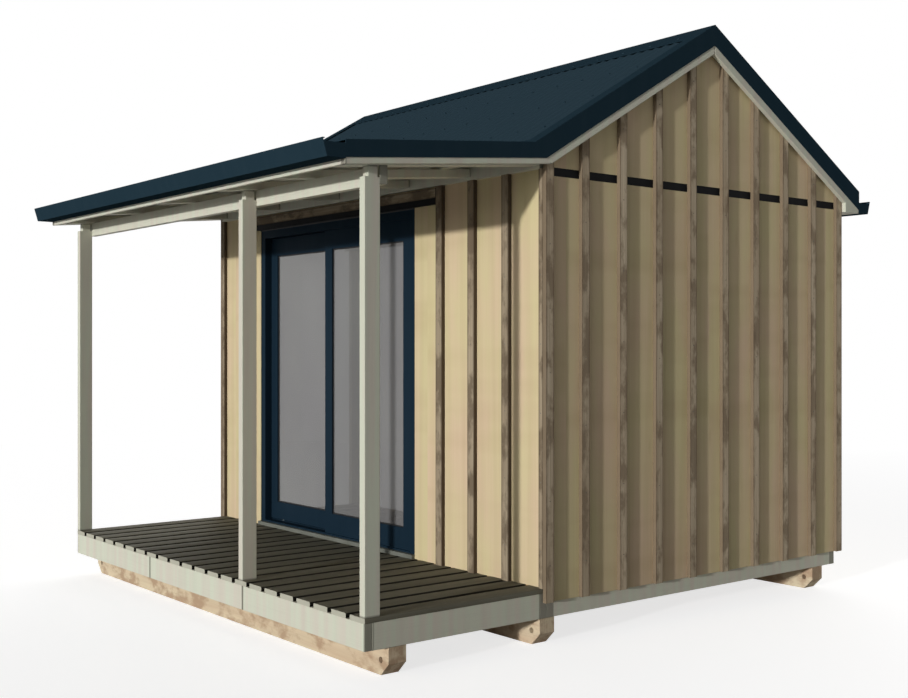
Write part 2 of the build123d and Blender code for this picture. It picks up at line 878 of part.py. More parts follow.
with BuildPart() as veranda_verge_boards:
    both_ends(
        [
            mitre(purlin_thickness, purlin_thickness),
            mitre(barge_bottom, -veranda_rafter_depth),
            (veranda_eave, veranda_z(veranda_eave, -veranda_rafter_depth)),
            (veranda_eave, veranda_z(veranda_eave, purlin_thickness)),
        ],
        batten_end,
        barge_end,
    )
save(veranda_verge_boards, "veranda_verge_boards")

with BuildPart() as veranda_verge_flashings:
    both_ends(
        [
            mitre(flashing_top, flashing_top),
            mitre(barge_flashing_bottom, veranda_flashing_bottom),
            (veranda_eave, veranda_z(veranda_eave, veranda_flashing_bottom)),
            (veranda_eave, veranda_z(veranda_eave, flashing_top)),
        ],
        barge_end,
        verge_end,
    )
    both_ends(
        [
            mitre(flashing_top, flashing_top),
            mitre(sheet_top, sheet_top),
            (veranda_eave, veranda_z(veranda_eave, sheet_top)),
            (veranda_eave, veranda_z(veranda_eave, flashing_top)),
        ],
        flashing_inner,
        barge_end,
    )
save(veranda_verge_flashings, "veranda_verge_flashings")

# Sliding door: a sill board, a frame with a roller track and a head guide, a fixed leaf outside
# and a sliding one behind it
with BuildPart() as door_sill:
    block((door_left, door_right), (front_batten_y, front + wall_thickness), (floor_top, door_bottom))
save(door_sill, "door_sill")

with BuildPart() as door_frame:
    frame_depth = (door_front, door_front + door_frame_depth)
    block((door_left, door_right), frame_depth, (door_bottom, door_top))
    block((clear_left, clear_right), frame_depth, (threshold_top, clear_top), mode=Mode.SUBTRACT)
    track_depth = (track_y - track_width / 2, track_y + track_width / 2)
    block((clear_left, clear_right), track_depth, (threshold_top, threshold_top + track_height))
    block((clear_left, clear_right), track_depth, (clear_top - guide_depth, clear_top))
save(door_frame, "door_frame")

fixed_glass_x = (fixed_left + stile_width, clear_right - stile_width)
fixed_depth = (fixed_leaf_y, fixed_leaf_y + leaf_thickness)
fixed_glass_y = fixed_leaf_y + leaf_thickness / 2

with BuildPart() as fixed_leaf:
    block((fixed_left, clear_right), fixed_depth, (threshold_top, clear_top))
    block(fixed_glass_x, fixed_depth, leaf_glass_z, mode=Mode.SUBTRACT)
save(fixed_leaf, "fixed_leaf")

with BuildPart() as fixed_leaf_glass:
    block(
        fixed_glass_x,
        (fixed_glass_y - glass_thickness / 2, fixed_glass_y + glass_thickness / 2),
        leaf_glass_z,
    )
save(fixed_leaf_glass, "fixed_leaf_glass")

sliding_glass_x = (sliding_left + stile_width, sliding_right - stile_width)
sliding_depth = (sliding_leaf_y, sliding_leaf_y + leaf_thickness)
roller_z = threshold_top + track_height + roller_play + roller_radius
roller_places = (sliding_left + roller_inset, sliding_right - roller_inset)
pocket_half = roller_width / 2 + roller_pocket_clearance
pocket_reach = roller_radius + roller_pocket_clearance

with BuildPart() as sliding_leaf:
    block((sliding_left, sliding_right), sliding_depth, (sliding_bottom, sliding_top))
    block(sliding_glass_x, sliding_depth, leaf_glass_z, mode=Mode.SUBTRACT)
    block(
        (sliding_left, sliding_right),
        (track_y - guide_groove_width / 2, track_y + guide_groove_width / 2),
        (sliding_top - guide_depth, sliding_top),
        mode=Mode.SUBTRACT,
    )
    for x in roller_places:
        block(
            (x - pocket_reach, x + pocket_reach),
            (track_y - pocket_half, track_y + pocket_half),
            (sliding_bottom, roller_z + pocket_reach),
            mode=Mode.SUBTRACT,
        )
save(sliding_leaf, "sliding_leaf")

with BuildPart() as sliding_leaf_glass:
    block(
        sliding_glass_x,
        (track_y - glass_thickness / 2, track_y + glass_thickness / 2),
        leaf_glass_z,
    )
save(sliding_leaf_glass, "sliding_leaf_glass")

with BuildPart() as door_rollers:
    for x in roller_places:
        with BuildSketch(Plane.XZ.offset(-track_y)):
            with Locations((x, roller_z)):
                Circle(roller_radius)
        extrude(amount=roller_width / 2, both=True)
        with BuildSketch(Plane.XZ.offset(-track_y)):
            with Locations((x, roller_z)):
                Circle(roller_pin_radius)
        extrude(amount=pocket_half, both=True)
save(door_rollers, "door_rollers")

# Fixed window in the left gable
window_face = -half_length - window_frame_proud
window_depth = (window_face, window_face + window_frame_depth)
window_glass_x = window_face + window_frame_depth / 2
pane_y = (window_front + window_stile_width, window_back - window_stile_width)
pane_z = (window_bottom + window_bottom_rail_depth, window_top - window_stile_width)

with BuildPart() as window_frame:
    block(window_depth, (window_front, window_back), (window_bottom, window_top))
    block(window_depth, pane_y, pane_z, mode=Mode.SUBTRACT)
save(window_frame, "window_frame")

with BuildPart() as window_glass:
    block(
        (window_glass_x - glass_thickness / 2, window_glass_x + glass_thickness / 2),
        pane_y,
        pane_z,
    )
save(window_glass, "window_glass")
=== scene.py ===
import json
import math

import bmesh
import bpy
import numpy as np
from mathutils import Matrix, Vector


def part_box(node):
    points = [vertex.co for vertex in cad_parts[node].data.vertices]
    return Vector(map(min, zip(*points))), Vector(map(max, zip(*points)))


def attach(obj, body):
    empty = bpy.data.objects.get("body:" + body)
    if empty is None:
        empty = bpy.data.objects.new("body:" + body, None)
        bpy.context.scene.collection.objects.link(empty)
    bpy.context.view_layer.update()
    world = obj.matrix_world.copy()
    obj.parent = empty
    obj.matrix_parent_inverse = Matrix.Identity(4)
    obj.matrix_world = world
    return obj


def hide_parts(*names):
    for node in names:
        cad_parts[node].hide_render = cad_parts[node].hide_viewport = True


# Looks of a small portable cabin: plywood and batten walls, painted boards, a dark corrugated roof,
# a glass sliding door and a plank deck on timber skids. Lengths are metres.
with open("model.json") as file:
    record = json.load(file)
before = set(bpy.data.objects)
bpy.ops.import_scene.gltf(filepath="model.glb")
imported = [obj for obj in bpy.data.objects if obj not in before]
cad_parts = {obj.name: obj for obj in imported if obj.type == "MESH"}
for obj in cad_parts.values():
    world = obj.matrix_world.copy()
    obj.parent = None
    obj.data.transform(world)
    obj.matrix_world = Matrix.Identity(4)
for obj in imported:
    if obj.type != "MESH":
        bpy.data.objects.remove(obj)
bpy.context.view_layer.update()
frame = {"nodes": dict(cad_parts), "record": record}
scene = bpy.context.scene

# Camera
CAMERA_PLACE = (6.613, -5.2288, 1.614)
CAMERA_TILT_DEG = 90.0
CAMERA_TURN_DEG = 51.39
CAMERA_LENS_MM = 48.18
SENSOR_MM = 36.0
CAMERA_SHIFT_UP = -0.0026
CAMERA_FAR = 300.0

# Studio
FLOOR_HALF = 60.0
FLOOR_DROP = 0.001
FLOOR_GREY = 0.60
FLOOR_GLOW = 0.74
FLOOR_ROUGH = 0.9
FLOOR_FADE = (5.0, 13.0)
# Painted shadow under the deck, where the floor's glow is taken away
DECK_SHADOW_LEFT_INSET = 0.10
DECK_SHADOW_RIGHT_INSET = 0.55
DECK_SHADOW_FADE = 0.05
SKY_LEVEL = 0.12
KEY_STRENGTH = 2.35
KEY_SOFTNESS_DEG = 2.0
KEY_AIM = (-0.187, 1.0, -0.105)
SOFT_STRENGTH = 0.6
SOFT_SOFTNESS_DEG = 26.0
SOFT_AIM = (-0.30, 1.0, -0.12)
BACK_STRENGTH = 1.7
BACK_SOFTNESS_DEG = 60.0
BACK_AIM = (0.50, -0.78, -0.38)

# Boards
MERGE_GAP = 0.0002
FLAT_DEG = 1.0
SHARP_DEG = 25.0
EASE_STEPS = 2
EASE_ROUNDNESS = 0.6
TIMBER_EASE = 0.003
BATTEN_EASE = 0.002
JOINERY_EASE = 0.0015
GRAIN_SEED = 7
GRAIN_SPREAD = 40.0
EDGE_SHADE_REACH = (0.011, 0.003)
END_DARKENING_REACH = (0.012, 0.004)
PLY_SHEET_WIDTH = 1.2

# Depth of the relief on each kind of surface
TIMBER_RELIEF = 0.002
PAINT_RELIEF = 0.0012
PLY_RELIEF = 0.0015
METAL_RELIEF = 0.0004
MOTTLE_RELIEF = 0.0005

# Deck planks
PLANK_COUNT = 22
PLANK_GAP = 0.036
PLANK_EASE = 0.004
PLANK_SEED = 11
PLANK_WOBBLE = 0.0006
DECK_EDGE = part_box("decking")[1].x - PLANK_EASE

# Corrugated roofing
WAVE_PITCH = 0.076
WAVE_STEPS = 14
WAVE_DEPTH = 0.017
SHEET_THICKNESS = 0.0014
SHEET_MERGE_GAP = 0.0001
EDGE_TOLERANCE = 0.0005

# Fixings
NAIL_RADIUS = 0.0035
NAIL_HEIGHT = 0.0014
NAIL_PITCH = 0.45
NAIL_END = 0.20
NAIL_SIDES = 10
NAIL_TOP_SHARE = 0.7
DECK_SCREW_RADIUS = 0.0045
DECK_SCREW_HEIGHT = 0.0012
DECK_SCREW_SIDES = 10
DECK_SCREW_TOP_SHARE = 0.9
ROOF_SCREW_RADIUS = 0.009
ROOF_SCREW_HEIGHT = 0.006
ROOF_SCREW_SIDES = 12
ROOF_SCREW_TOP_SHARE = 0.6
ROOF_SCREW_WAVES = 3
ROOF_SCREW_LIMIT = 1.75
FLASHING_LIFT = 0.0056

# Seals
SEAL_WIDTH = 0.008
SEAL_DEPTH = 0.004
BEAD_RADIUS = 0.0045
BEAD_SIDES = 8

# Kinds of sockets on node groups
FLOAT = "NodeSocketFloat"
WHOLE = "NodeSocketInt"
VECTOR = "NodeSocketVector"
ROTATION = "NodeSocketRotation"
GEOMETRY = "NodeSocketGeometry"
NO_OFFSET = (0.0, 0.0, 0.0)


def tone(red, green, blue):
    """Linear colour from the 0 to 255 values that a paint card gives."""
    channels = [value / 255 for value in (red, green, blue)]
    linear = [c / 12.92 if c <= 0.04045 else ((c + 0.055) / 1.055) ** 2.4 for c in channels]
    return (*linear, 1.0)


# Colours
WHITE = (1.0, 1.0, 1.0, 1.0)
PAINT_GREEN = tone(203, 206, 187)
PAINT_WARM = tone(205, 199, 184)
PAINT_STREAK = tone(164, 162, 145)
PAINT_RUN = tone(152, 150, 132)
END_DARKENING = tone(92, 89, 78)
PLANK_PALE = tone(120, 117, 102)
PLANK_GREY = tone(104, 101, 88)
PLANK_STREAK = tone(84, 81, 69)
# Painted shade for the deck gaps, then painted light for the plank ends
PLANK_GAP_SHADE = tone(30, 29, 25)
PLANK_LIT_END = tone(178, 176, 160)
GLASS_PALE = tone(156, 155, 154)
GLASS_GREY = tone(149, 147, 148)
GLASS_PASSING = tone(214, 218, 216)
NAVY = tone(34, 52, 62)
NAVY_DUST = tone(54, 68, 77)
ROOF_NAVY = tone(47, 65, 75)
ROOF_BACKING = tone(150, 145, 134)


# Small helpers that add one node and return its output
def put(tree, kind, inputs=None, **options):
    """Adds a node, sets its options, and fills its inputs from values or from other nodes."""
    node = tree.nodes.new(kind)
    for option, value in options.items():
        setattr(node, option, value)
    for key, value in (inputs or {}).items():
        if isinstance(value, bpy.types.NodeSocket):
            tree.links.new(value, node.inputs[key])
        else:
            node.inputs[key].default_value = value
    return node


def made(tree, kind, inputs=None, **options):
    """Adds a node and returns its first output."""
    return put(tree, kind, inputs, **options).outputs[0]


def math_of(tree, operation, first, second=0.0):
    return made(tree, "ShaderNodeMath", {0: first, 1: second}, operation=operation)


def stretched(tree, vector, factors):
    return made(tree, "ShaderNodeVectorMath", {0: vector, 1: factors}, operation="MULTIPLY")


def scaled(tree, vector, factor):
    return made(tree, "ShaderNodeVectorMath", {0: vector, "Scale": factor}, operation="SCALE")


def joined_axes(tree, x=0.0, y=0.0, z=0.0):
    return made(tree, "ShaderNodeCombineXYZ", {0: x, 1: y, 2: z})


def split_axes(tree, vector):
    return put(tree, "ShaderNodeSeparateXYZ", {0: vector}).outputs


def noise(tree, vector, scale, detail=2.0, roughness=0.5):
    inputs = {"Vector": vector, "Scale": scale, "Detail": detail, "Roughness": roughness}
    return put(tree, "ShaderNodeTexNoise", inputs).outputs["Fac"]


def ranged(tree, value, from_low, from_high, to_low=0.0, to_high=1.0):
    inputs = {"Value": value, "From Min": from_low, "From Max": from_high}
    inputs |= {"To Min": to_low, "To Max": to_high}
    return put(tree, "ShaderNodeMapRange", inputs).outputs["Result"]


def mixed(tree, factor, first, second):
    inputs = {0: factor, 6: first, 7: second}
    return put(tree, "ShaderNodeMix", inputs, data_type="RGBA").outputs[2]


def toned(tree, colour, value):
    return put(tree, "ShaderNodeHueSaturation", {"Color": colour, "Value": value}).outputs["Color"]


def bumped(tree, height, strength, distance):
    inputs = {"Height": height, "Strength": strength, "Distance": distance}
    return put(tree, "ShaderNodeBump", inputs).outputs["Normal"]


def object_place(tree):
    return put(tree, "ShaderNodeTexCoord").outputs["Object"]


def surface_facing(tree):
    return put(tree, "ShaderNodeNewGeometry").outputs["Normal"]


def stored(tree, name):
    """Outputs of an attribute that a piece's mesh holds."""
    return put(tree, "ShaderNodeAttribute", attribute_name=name).outputs


def link_all(tree, sockets, values):
    for label, value in values.items():
        tree.links.new(value, sockets[label])


# Shared effects, each one a shader group
def new_group(name, inputs, outputs):
    """Empty shader group; inputs are {name: (socket kind, default)} and outputs are names of values."""
    group = bpy.data.node_groups.new(name, "ShaderNodeTree")
    for label, (kind, default) in inputs.items():
        group.interface.new_socket(label, in_out="INPUT", socket_type=kind).default_value = default
    for label in outputs:
        group.interface.new_socket(label, in_out="OUTPUT", socket_type=FLOAT)
    start = group.nodes.new("NodeGroupInput")
    end = group.nodes.new("NodeGroupOutput")
    return group, start.outputs, end.inputs


def timber_grain_group():
    """Grain that runs along the first axis of a place: broad figure, rings, fine streaks and knots."""
    group, given, results = new_group(
        "timber_grain",
        {
            "Place": (VECTOR, NO_OFFSET),
            "Ring Scale": (FLOAT, 20.0),
            "Wander": (FLOAT, 5.0),
            "Fineness": (FLOAT, 1.0),
        },
        ("Figure", "Rings", "Streaks", "Knots", "Height"),
    )
    place = given["Place"]
    figure = noise(group, stretched(group, place, (0.9, 9.0, 9.0)), 1.0, 3.0, 0.55)
    ring_inputs = {
        "Vector": stretched(group, place, (0.10, 1.0, 1.0)),
        "Scale": given["Ring Scale"],
        "Distortion": given["Wander"],
        "Detail": 2.0,
        "Detail Scale": 0.6,
    }
    rings = put(group, "ShaderNodeTexWave", ring_inputs, bands_direction="Y").outputs["Fac"]
    fine = scaled(group, place, given["Fineness"])
    streaks = noise(group, stretched(group, fine, (3.0, 190.0, 190.0)), 1.0, 4.0, 0.6)
    cell_inputs = {"Vector": stretched(group, place, (1.5, 6.0, 6.0)), "Scale": 1.0}
    cells = put(group, "ShaderNodeTexVoronoi", cell_inputs)
    knots = ranged(group, cells.outputs["Distance"], 0.10, 0.03)
    ring_height = math_of(group, "MULTIPLY", rings, 0.35)
    streak_height = math_of(group, "MULTIPLY", streaks, 0.65)
    height = math_of(group, "ADD", ring_height, streak_height)
    values = {"Figure": figure, "Rings": rings, "Streaks": streaks, "Knots": knots, "Height": height}
    link_all(group, results, values)
    return group


def weather_group():
    """Marks of rain and dust: upright runs, soft blotches, and dust on what faces up."""
    group, given, results = new_group(
        "weather",
        {"Place": (VECTOR, NO_OFFSET), "Scale": (FLOAT, 1.0)},
        ("Runs", "Blotches", "Dust"),
    )
    place = scaled(group, given["Place"], given["Scale"])
    runs = ranged(group, noise(group, stretched(group, place, (14.0, 14.0, 0.7)), 1.0, 3.0), 0.45, 0.75)
    blotches = ranged(group, noise(group, place, 2.2, 4.0, 0.6), 0.35, 0.70)
    upward = split_axes(group, surface_facing(group))["Z"]
    dust = math_of(group, "MULTIPLY", ranged(group, upward, 0.2, 0.95), blotches)
    link_all(group, results, {"Runs": runs, "Blotches": blotches, "Dust": dust})
    return group


TIMBER_GRAIN = timber_grain_group()
WEATHER = weather_group()


def grain_of(tree, place, **values):
    """Places the grain group in a material; the names of the values use _ for spaces."""
    node = put(tree, "ShaderNodeGroup", node_tree=TIMBER_GRAIN)
    tree.links.new(place, node.inputs["Place"])
    for label, value in values.items():
        node.inputs[label.replace("_", " ").title()].default_value = value
    return node.outputs


def weather_of(tree):
    """Places the weather group in a material."""
    node = put(tree, "ShaderNodeGroup", node_tree=WEATHER)
    tree.links.new(object_place(tree), node.inputs["Place"])
    return node.outputs


# Materials
def new_material(name, **constants):
    """Material with one shader, whose plain values are set on its own sockets."""
    material = bpy.data.materials.new(name)
    material.use_nodes = True
    tree = material.node_tree
    tree.nodes.clear()
    shader = put(tree, "ShaderNodeBsdfPrincipled")
    output = put(tree, "ShaderNodeOutputMaterial", {"Surface": shader.outputs["BSDF"]})
    output.is_active_output = True
    for label, value in constants.items():
        shader.inputs[label.replace("_", " ").title().replace("Ior", "IOR")].default_value = value
    return material, tree, shader.inputs


def cover(tree, sockets, colour, roughness, normal):
    """Links the three values that change over every solid surface to its shader."""
    link_all(tree, sockets, {"Base Color": colour, "Roughness": roughness, "Normal": normal})


def lay_over(tree, factor, shader):
    """Mixes another shader over the one that the material shows so far."""
    surface = tree.nodes["Material Output"].inputs["Surface"]
    below = surface.links[0].from_socket
    tree.links.new(made(tree, "ShaderNodeMixShader", {0: factor, 1: below, 2: shader}), surface)


def nearest_reach(tree, name):
    """The shorter of a point's two ways to the ends or edges of its board."""
    ways = split_axes(tree, stored(tree, name)["Vector"])
    return math_of(tree, "MINIMUM", ways["X"], ways["Y"])


def bare_timber(name, tones, streak_share, patch_share, tone_share, rough, bump, side=None):
    """Unpainted board: its grain follows each board, with dark patches along it and its own tone.

    The four tones are those of its pale wood, warm wood, dark grain and knots. A side tone, where one is
    given, paints shade on the side faces and long edges of a board that is fixed flat to a wall.
    """
    pale, warm, dark, knot = (tone(*values) for values in tones)
    material, tree, sockets = new_material(name, specular_ior_level=0.2)
    place = stored(tree, "grain_place")["Vector"]
    board_tone = stored(tree, "piece_tone")["Fac"]
    grain = grain_of(tree, place, ring_scale=16.0, wander=7.0)
    colour = mixed(tree, ranged(tree, grain["Figure"], 0.35, 0.68), pale, warm)
    colour = mixed(tree, math_of(tree, "MULTIPLY", grain["Rings"], 0.16), colour, dark)
    colour = mixed(tree, ranged(tree, grain["Streaks"], 0.48, 0.78, 0.0, streak_share), colour, dark)
    patches = noise(tree, stretched(tree, place, (5.0, 9.0, 9.0)), 1.0, 4.0, 0.62)
    colour = mixed(tree, ranged(tree, patches, 0.46, 0.58, 0.0, patch_share), colour, dark)
    colour = mixed(tree, math_of(tree, "MULTIPLY", grain["Knots"], 0.75), colour, knot)
    colour = toned(tree, colour, ranged(tree, board_tone, 0.0, 1.0, 1 - tone_share, 1 + tone_share))
    # Painted shade: the side faces and long edges of a wall batten are darkened, as the shade that falls
    # there
    if side:
        facings = {0: stored(tree, "outward")["Vector"], 1: surface_facing(tree)}
        flat = put(tree, "ShaderNodeVectorMath", facings, operation="DOT_PRODUCT").outputs["Value"]
        shaded_edges = ranged(tree, nearest_reach(tree, "edge_reach"), *EDGE_SHADE_REACH, 0.0, 0.65)
        colour = mixed(tree, shaded_edges, colour, knot)
        turned = ranged(tree, math_of(tree, "ABSOLUTE", flat), 0.97, 0.55, 0.0, 0.8)
        colour = mixed(tree, turned, colour, tone(*side))
    roughness = ranged(tree, grain["Streaks"], 0.3, 0.7, rough - 0.08, rough + 0.08)
    cover(tree, sockets, colour, roughness, bumped(tree, grain["Height"], bump, TIMBER_RELIEF))
    return material


def painted_boards():
    """Pale grey-green paint that lets a little grain through, darker close to each board end."""
    material, tree, sockets = new_material("painted_boards", specular_ior_level=0.2)
    board_tone = stored(tree, "piece_tone")["Fac"]
    grain = grain_of(tree, stored(tree, "grain_place")["Vector"], ring_scale=22.0, wander=4.0)
    weather = weather_of(tree)
    bands = noise(tree, stretched(tree, object_place(tree), (19.0, 19.0, 0.8)), 1.0, 2.0)
    colour = mixed(tree, ranged(tree, bands, 0.38, 0.62), PAINT_GREEN, PAINT_WARM)
    colour = mixed(tree, ranged(tree, grain["Streaks"], 0.5, 0.8, 0.0, 0.16), colour, PAINT_STREAK)
    colour = mixed(tree, math_of(tree, "MULTIPLY", weather["Runs"], 0.10), colour, PAINT_RUN)
    colour = toned(tree, colour, ranged(tree, board_tone, 0.0, 1.0, 0.97, 1.03))
    # Darker within about a centimetre of each board end
    near_end = ranged(tree, nearest_reach(tree, "end_reach"), *END_DARKENING_REACH, 0.0, 0.7)
    colour = mixed(tree, near_end, colour, END_DARKENING)
    roughness = ranged(tree, bands, 0.3, 0.7, 0.48, 0.66)
    cover(tree, sockets, colour, roughness, bumped(tree, grain["Height"], 0.18, PAINT_RELIEF))
    return material


def plywood(name, *tones):
    """Upright plywood sheets: broad soft figure, faint level bands, and a new start on each sheet.

    The three tones are those of its pale veneer, warm veneer and dark grain.
    """
    pale, warm, dark = (tone(*values) for values in tones)
    material, tree, sockets = new_material(name, specular_ior_level=0.18)
    axes = split_axes(tree, object_place(tree))
    across = math_of(tree, "ADD", axes["X"], axes["Y"])
    sheet = math_of(tree, "FLOOR", math_of(tree, "DIVIDE", across, PLY_SHEET_WIDTH))
    start = made(tree, "ShaderNodeTexWhiteNoise", {"W": sheet}, noise_dimensions="1D")
    upright = math_of(tree, "ADD", axes["Z"], math_of(tree, "MULTIPLY", start, 9.0))
    sideways = math_of(tree, "ADD", across, math_of(tree, "MULTIPLY", start, 3.0))
    place = joined_axes(tree, upright, sideways, sheet)
    grain = grain_of(tree, place, ring_scale=2.2, wander=9.0, fineness=0.35)
    patches = noise(tree, stretched(tree, place, (0.9, 3.2, 1.0)), 1.0, 3.0, 0.55)
    bands = noise(tree, stretched(tree, place, (4.5, 0.5, 1.0)), 1.0, 2.0)
    colour = mixed(tree, ranged(tree, patches, 0.36, 0.64), pale, warm)
    colour = mixed(tree, ranged(tree, bands, 0.50, 0.70, 0.0, 0.22), colour, dark)
    colour = mixed(tree, ranged(tree, grain["Rings"], 0.60, 1.0, 0.0, 0.12), colour, dark)
    colour = mixed(tree, ranged(tree, grain["Streaks"], 0.5, 0.8, 0.0, 0.14), colour, dark)
    colour = mixed(tree, math_of(tree, "MULTIPLY", grain["Knots"], 0.22), colour, dark)
    colour = toned(tree, colour, ranged(tree, start, 0.0, 1.0, 0.97, 1.03))
    roughness = ranged(tree, grain["Streaks"], 0.3, 0.7, 0.56, 0.74)
    cover(tree, sockets, colour, roughness, bumped(tree, grain["Height"], 0.16, PLY_RELIEF))
    return material


def deck_planks():
    """Weathered grey planks; their sides that face the gaps are painted near black as shade, and their ends
    are painted paler as lit faces.
    """
    material, tree, sockets = new_material("deck_planks", specular_ior_level=0.06)
    board_tone = stored(tree, "piece_tone")["Fac"]
    grain = grain_of(tree, stored(tree, "grain_place")["Vector"], ring_scale=14.0, wander=6.0)
    turned = split_axes(tree, surface_facing(tree))
    from_middle = math_of(tree, "ABSOLUTE", split_axes(tree, object_place(tree))["X"])
    inside = ranged(tree, from_middle, DECK_EDGE, DECK_EDGE - PLANK_EASE)
    # Painted shade: the plank sides that face the gaps, though not the deck's outer edges, turn near black
    sides = math_of(tree, "MULTIPLY", math_of(tree, "ABSOLUTE", turned["X"]), inside)
    # Painted light: the ends that face front and back are paler than the tops, as faces the light falls on
    ends = math_of(tree, "ABSOLUTE", turned["Y"])
    colour = mixed(tree, ranged(tree, grain["Figure"], 0.35, 0.68), PLANK_PALE, PLANK_GREY)
    colour = mixed(tree, ranged(tree, grain["Streaks"], 0.45, 0.78, 0.0, 0.45), colour, PLANK_STREAK)
    colour = toned(tree, colour, ranged(tree, board_tone, 0.0, 1.0, 0.88, 1.12))
    colour = mixed(tree, ranged(tree, sides, 0.5, 0.9), colour, PLANK_GAP_SHADE)
    colour = mixed(tree, ranged(tree, ends, 0.5, 0.9), colour, PLANK_LIT_END)
    roughness = ranged(tree, grain["Streaks"], 0.3, 0.7, 0.62, 0.82)
    cover(tree, sockets, colour, roughness, bumped(tree, grain["Height"], 0.35, TIMBER_RELIEF))
    return material


def coated_metal(name, colour, dusty, rough, skin_scale, skin_bump, dust_share, backing=None, **constants):
    """Painted or powder-coated metal: even colour with a fine skin, faint runs and settled dust.

    A backing coat, where one is given, covers what faces down.
    """
    material, tree, sockets = new_material(name, **constants)
    weather = weather_of(tree)
    skin = noise(tree, object_place(tree), skin_scale, 2.0)
    shade = mixed(tree, math_of(tree, "MULTIPLY", weather["Dust"], dust_share), colour, dusty)
    shade = mixed(tree, math_of(tree, "MULTIPLY", weather["Runs"], 0.10), shade, dusty)
    if backing:
        upward = split_axes(tree, surface_facing(tree))["Z"]
        shade = mixed(tree, ranged(tree, upward, -0.2, -0.4), shade, backing)
    roughness = ranged(tree, weather["Blotches"], 0.0, 1.0, rough - 0.05, rough + 0.07)
    cover(tree, sockets, shade, roughness, bumped(tree, skin, skin_bump, METAL_RELIEF))
    return material


def plain_finish(name, colour, second, rough, scale, bump, **constants):
    """Even finish with a soft mottle, for the sill, seals, fixings and rollers."""
    material, tree, sockets = new_material(name, **constants)
    mottle = noise(tree, object_place(tree), scale, 3.0)
    shade = mixed(tree, ranged(tree, mottle, 0.35, 0.65), colour, second)
    roughness = ranged(tree, mottle, 0.3, 0.7, rough - 0.06, rough + 0.06)
    cover(tree, sockets, shade, roughness, bumped(tree, mottle, bump, MOTTLE_RELIEF))
    return material


def glazing():
    """Milky grey glass that lets lamps and sky through to the room."""
    material, tree, sockets = new_material("grey_glazing", metallic=0.0, transmission_weight=0.6, ior=1.45)
    smears = noise(tree, stretched(tree, object_place(tree), (3.0, 3.0, 1.2)), 1.0, 3.0)
    tint = mixed(tree, ranged(tree, smears, 0.35, 0.70), GLASS_PALE, GLASS_GREY)
    link_all(tree, sockets, {"Base Color": tint, "Roughness": ranged(tree, smears, 0.45, 0.85, 0.0, 0.05)})
    path = put(tree, "ShaderNodeLightPath").outputs
    passing = math_of(tree, "MAXIMUM", path["Is Shadow Ray"], path["Is Diffuse Ray"])
    lay_over(tree, passing, made(tree, "ShaderNodeBsdfTransparent", {"Color": GLASS_PASSING}))
    return material


WALL_BATTEN = {"streak_share": 0.40, "patch_share": 0.75, "tone_share": 0.08, "rough": 0.82, "bump": 0.4}
ROOF_COAT = {
    "dusty": NAVY_DUST,
    "rough": 0.62,
    "skin_scale": 260.0,
    "skin_bump": 0.06,
    "dust_share": 0.08,
    "specular_ior_level": 0.0,
}
LOOKS = {
    "skid_timber": bare_timber(
        "skid_timber",
        ((214, 200, 170), (206, 183, 154), (164, 134, 108), (116, 88, 64)),
        streak_share=0.30,
        patch_share=0.75,
        tone_share=0.05,
        rough=0.80,
        bump=0.4,
    ),
    "painted_boards": painted_boards(),
    "framing_pine": bare_timber(
        "framing_pine",
        ((222, 199, 158), (205, 172, 126), (160, 120, 80), (120, 78, 48)),
        streak_share=0.40,
        patch_share=0.15,
        tone_share=0.07,
        rough=0.68,
        bump=0.3,
    ),
    "floor_ply": plywood("floor_ply", (196, 170, 130), (184, 152, 112), (140, 108, 74)),
    "deck_timber": deck_planks(),
    "wall_lining": plywood("wall_lining", (222, 208, 178), (214, 196, 160), (178, 152, 112)),
    "cladding_ply": plywood("cladding_ply", (207, 194, 150), (211, 187, 156), (172, 150, 110)),
    "batten_timber": bare_timber(
        "batten_timber",
        ((170, 155, 131), (144, 128, 106), (95, 81, 64), (76, 62, 47)),
        # side tone: painted shade on the batten sides
        side=(78, 66, 51),
        **WALL_BATTEN,
    ),
    "dark_flashing": coated_metal(
        "dark_flashing",
        tone(17, 17, 18),
        dusty=tone(34, 34, 34),
        rough=0.6,
        skin_scale=300.0,
        skin_bump=0.05,
        dust_share=0.1,
        specular_ior_level=0.06,
    ),
    "roof_metal": coated_metal("roof_metal", NAVY, **ROOF_COAT),
    "joinery": coated_metal(
        "joinery",
        tone(22, 38, 50),
        dusty=tone(42, 58, 70),
        rough=0.50,
        skin_scale=700.0,
        skin_bump=0.10,
        dust_share=0.15,
        specular_ior_level=0.02,
    ),
    "glazing": glazing(),
    "roller_plastic": plain_finish(
        "roller_plastic",
        tone(226, 226, 220),
        tone(206, 206, 198),
        rough=0.5,
        scale=60.0,
        bump=0.05,
        specular_ior_level=0.4,
    ),
}
ROOFING = coated_metal("roofing", ROOF_NAVY, backing=ROOF_BACKING, **ROOF_COAT)
# Painted light: the gable's battens take a paler copy of the wall batten colours, for the light that falls
# on that wall; their side tone is painted shade
GABLE_BATTENS_PAINTED_LIGHT = bare_timber(
    "gable_battens_painted_light",
    ((202, 186, 160), (180, 162, 136), (124, 107, 86), (92, 76, 58)),
    side=(122, 107, 87),
    **WALL_BATTEN,
)
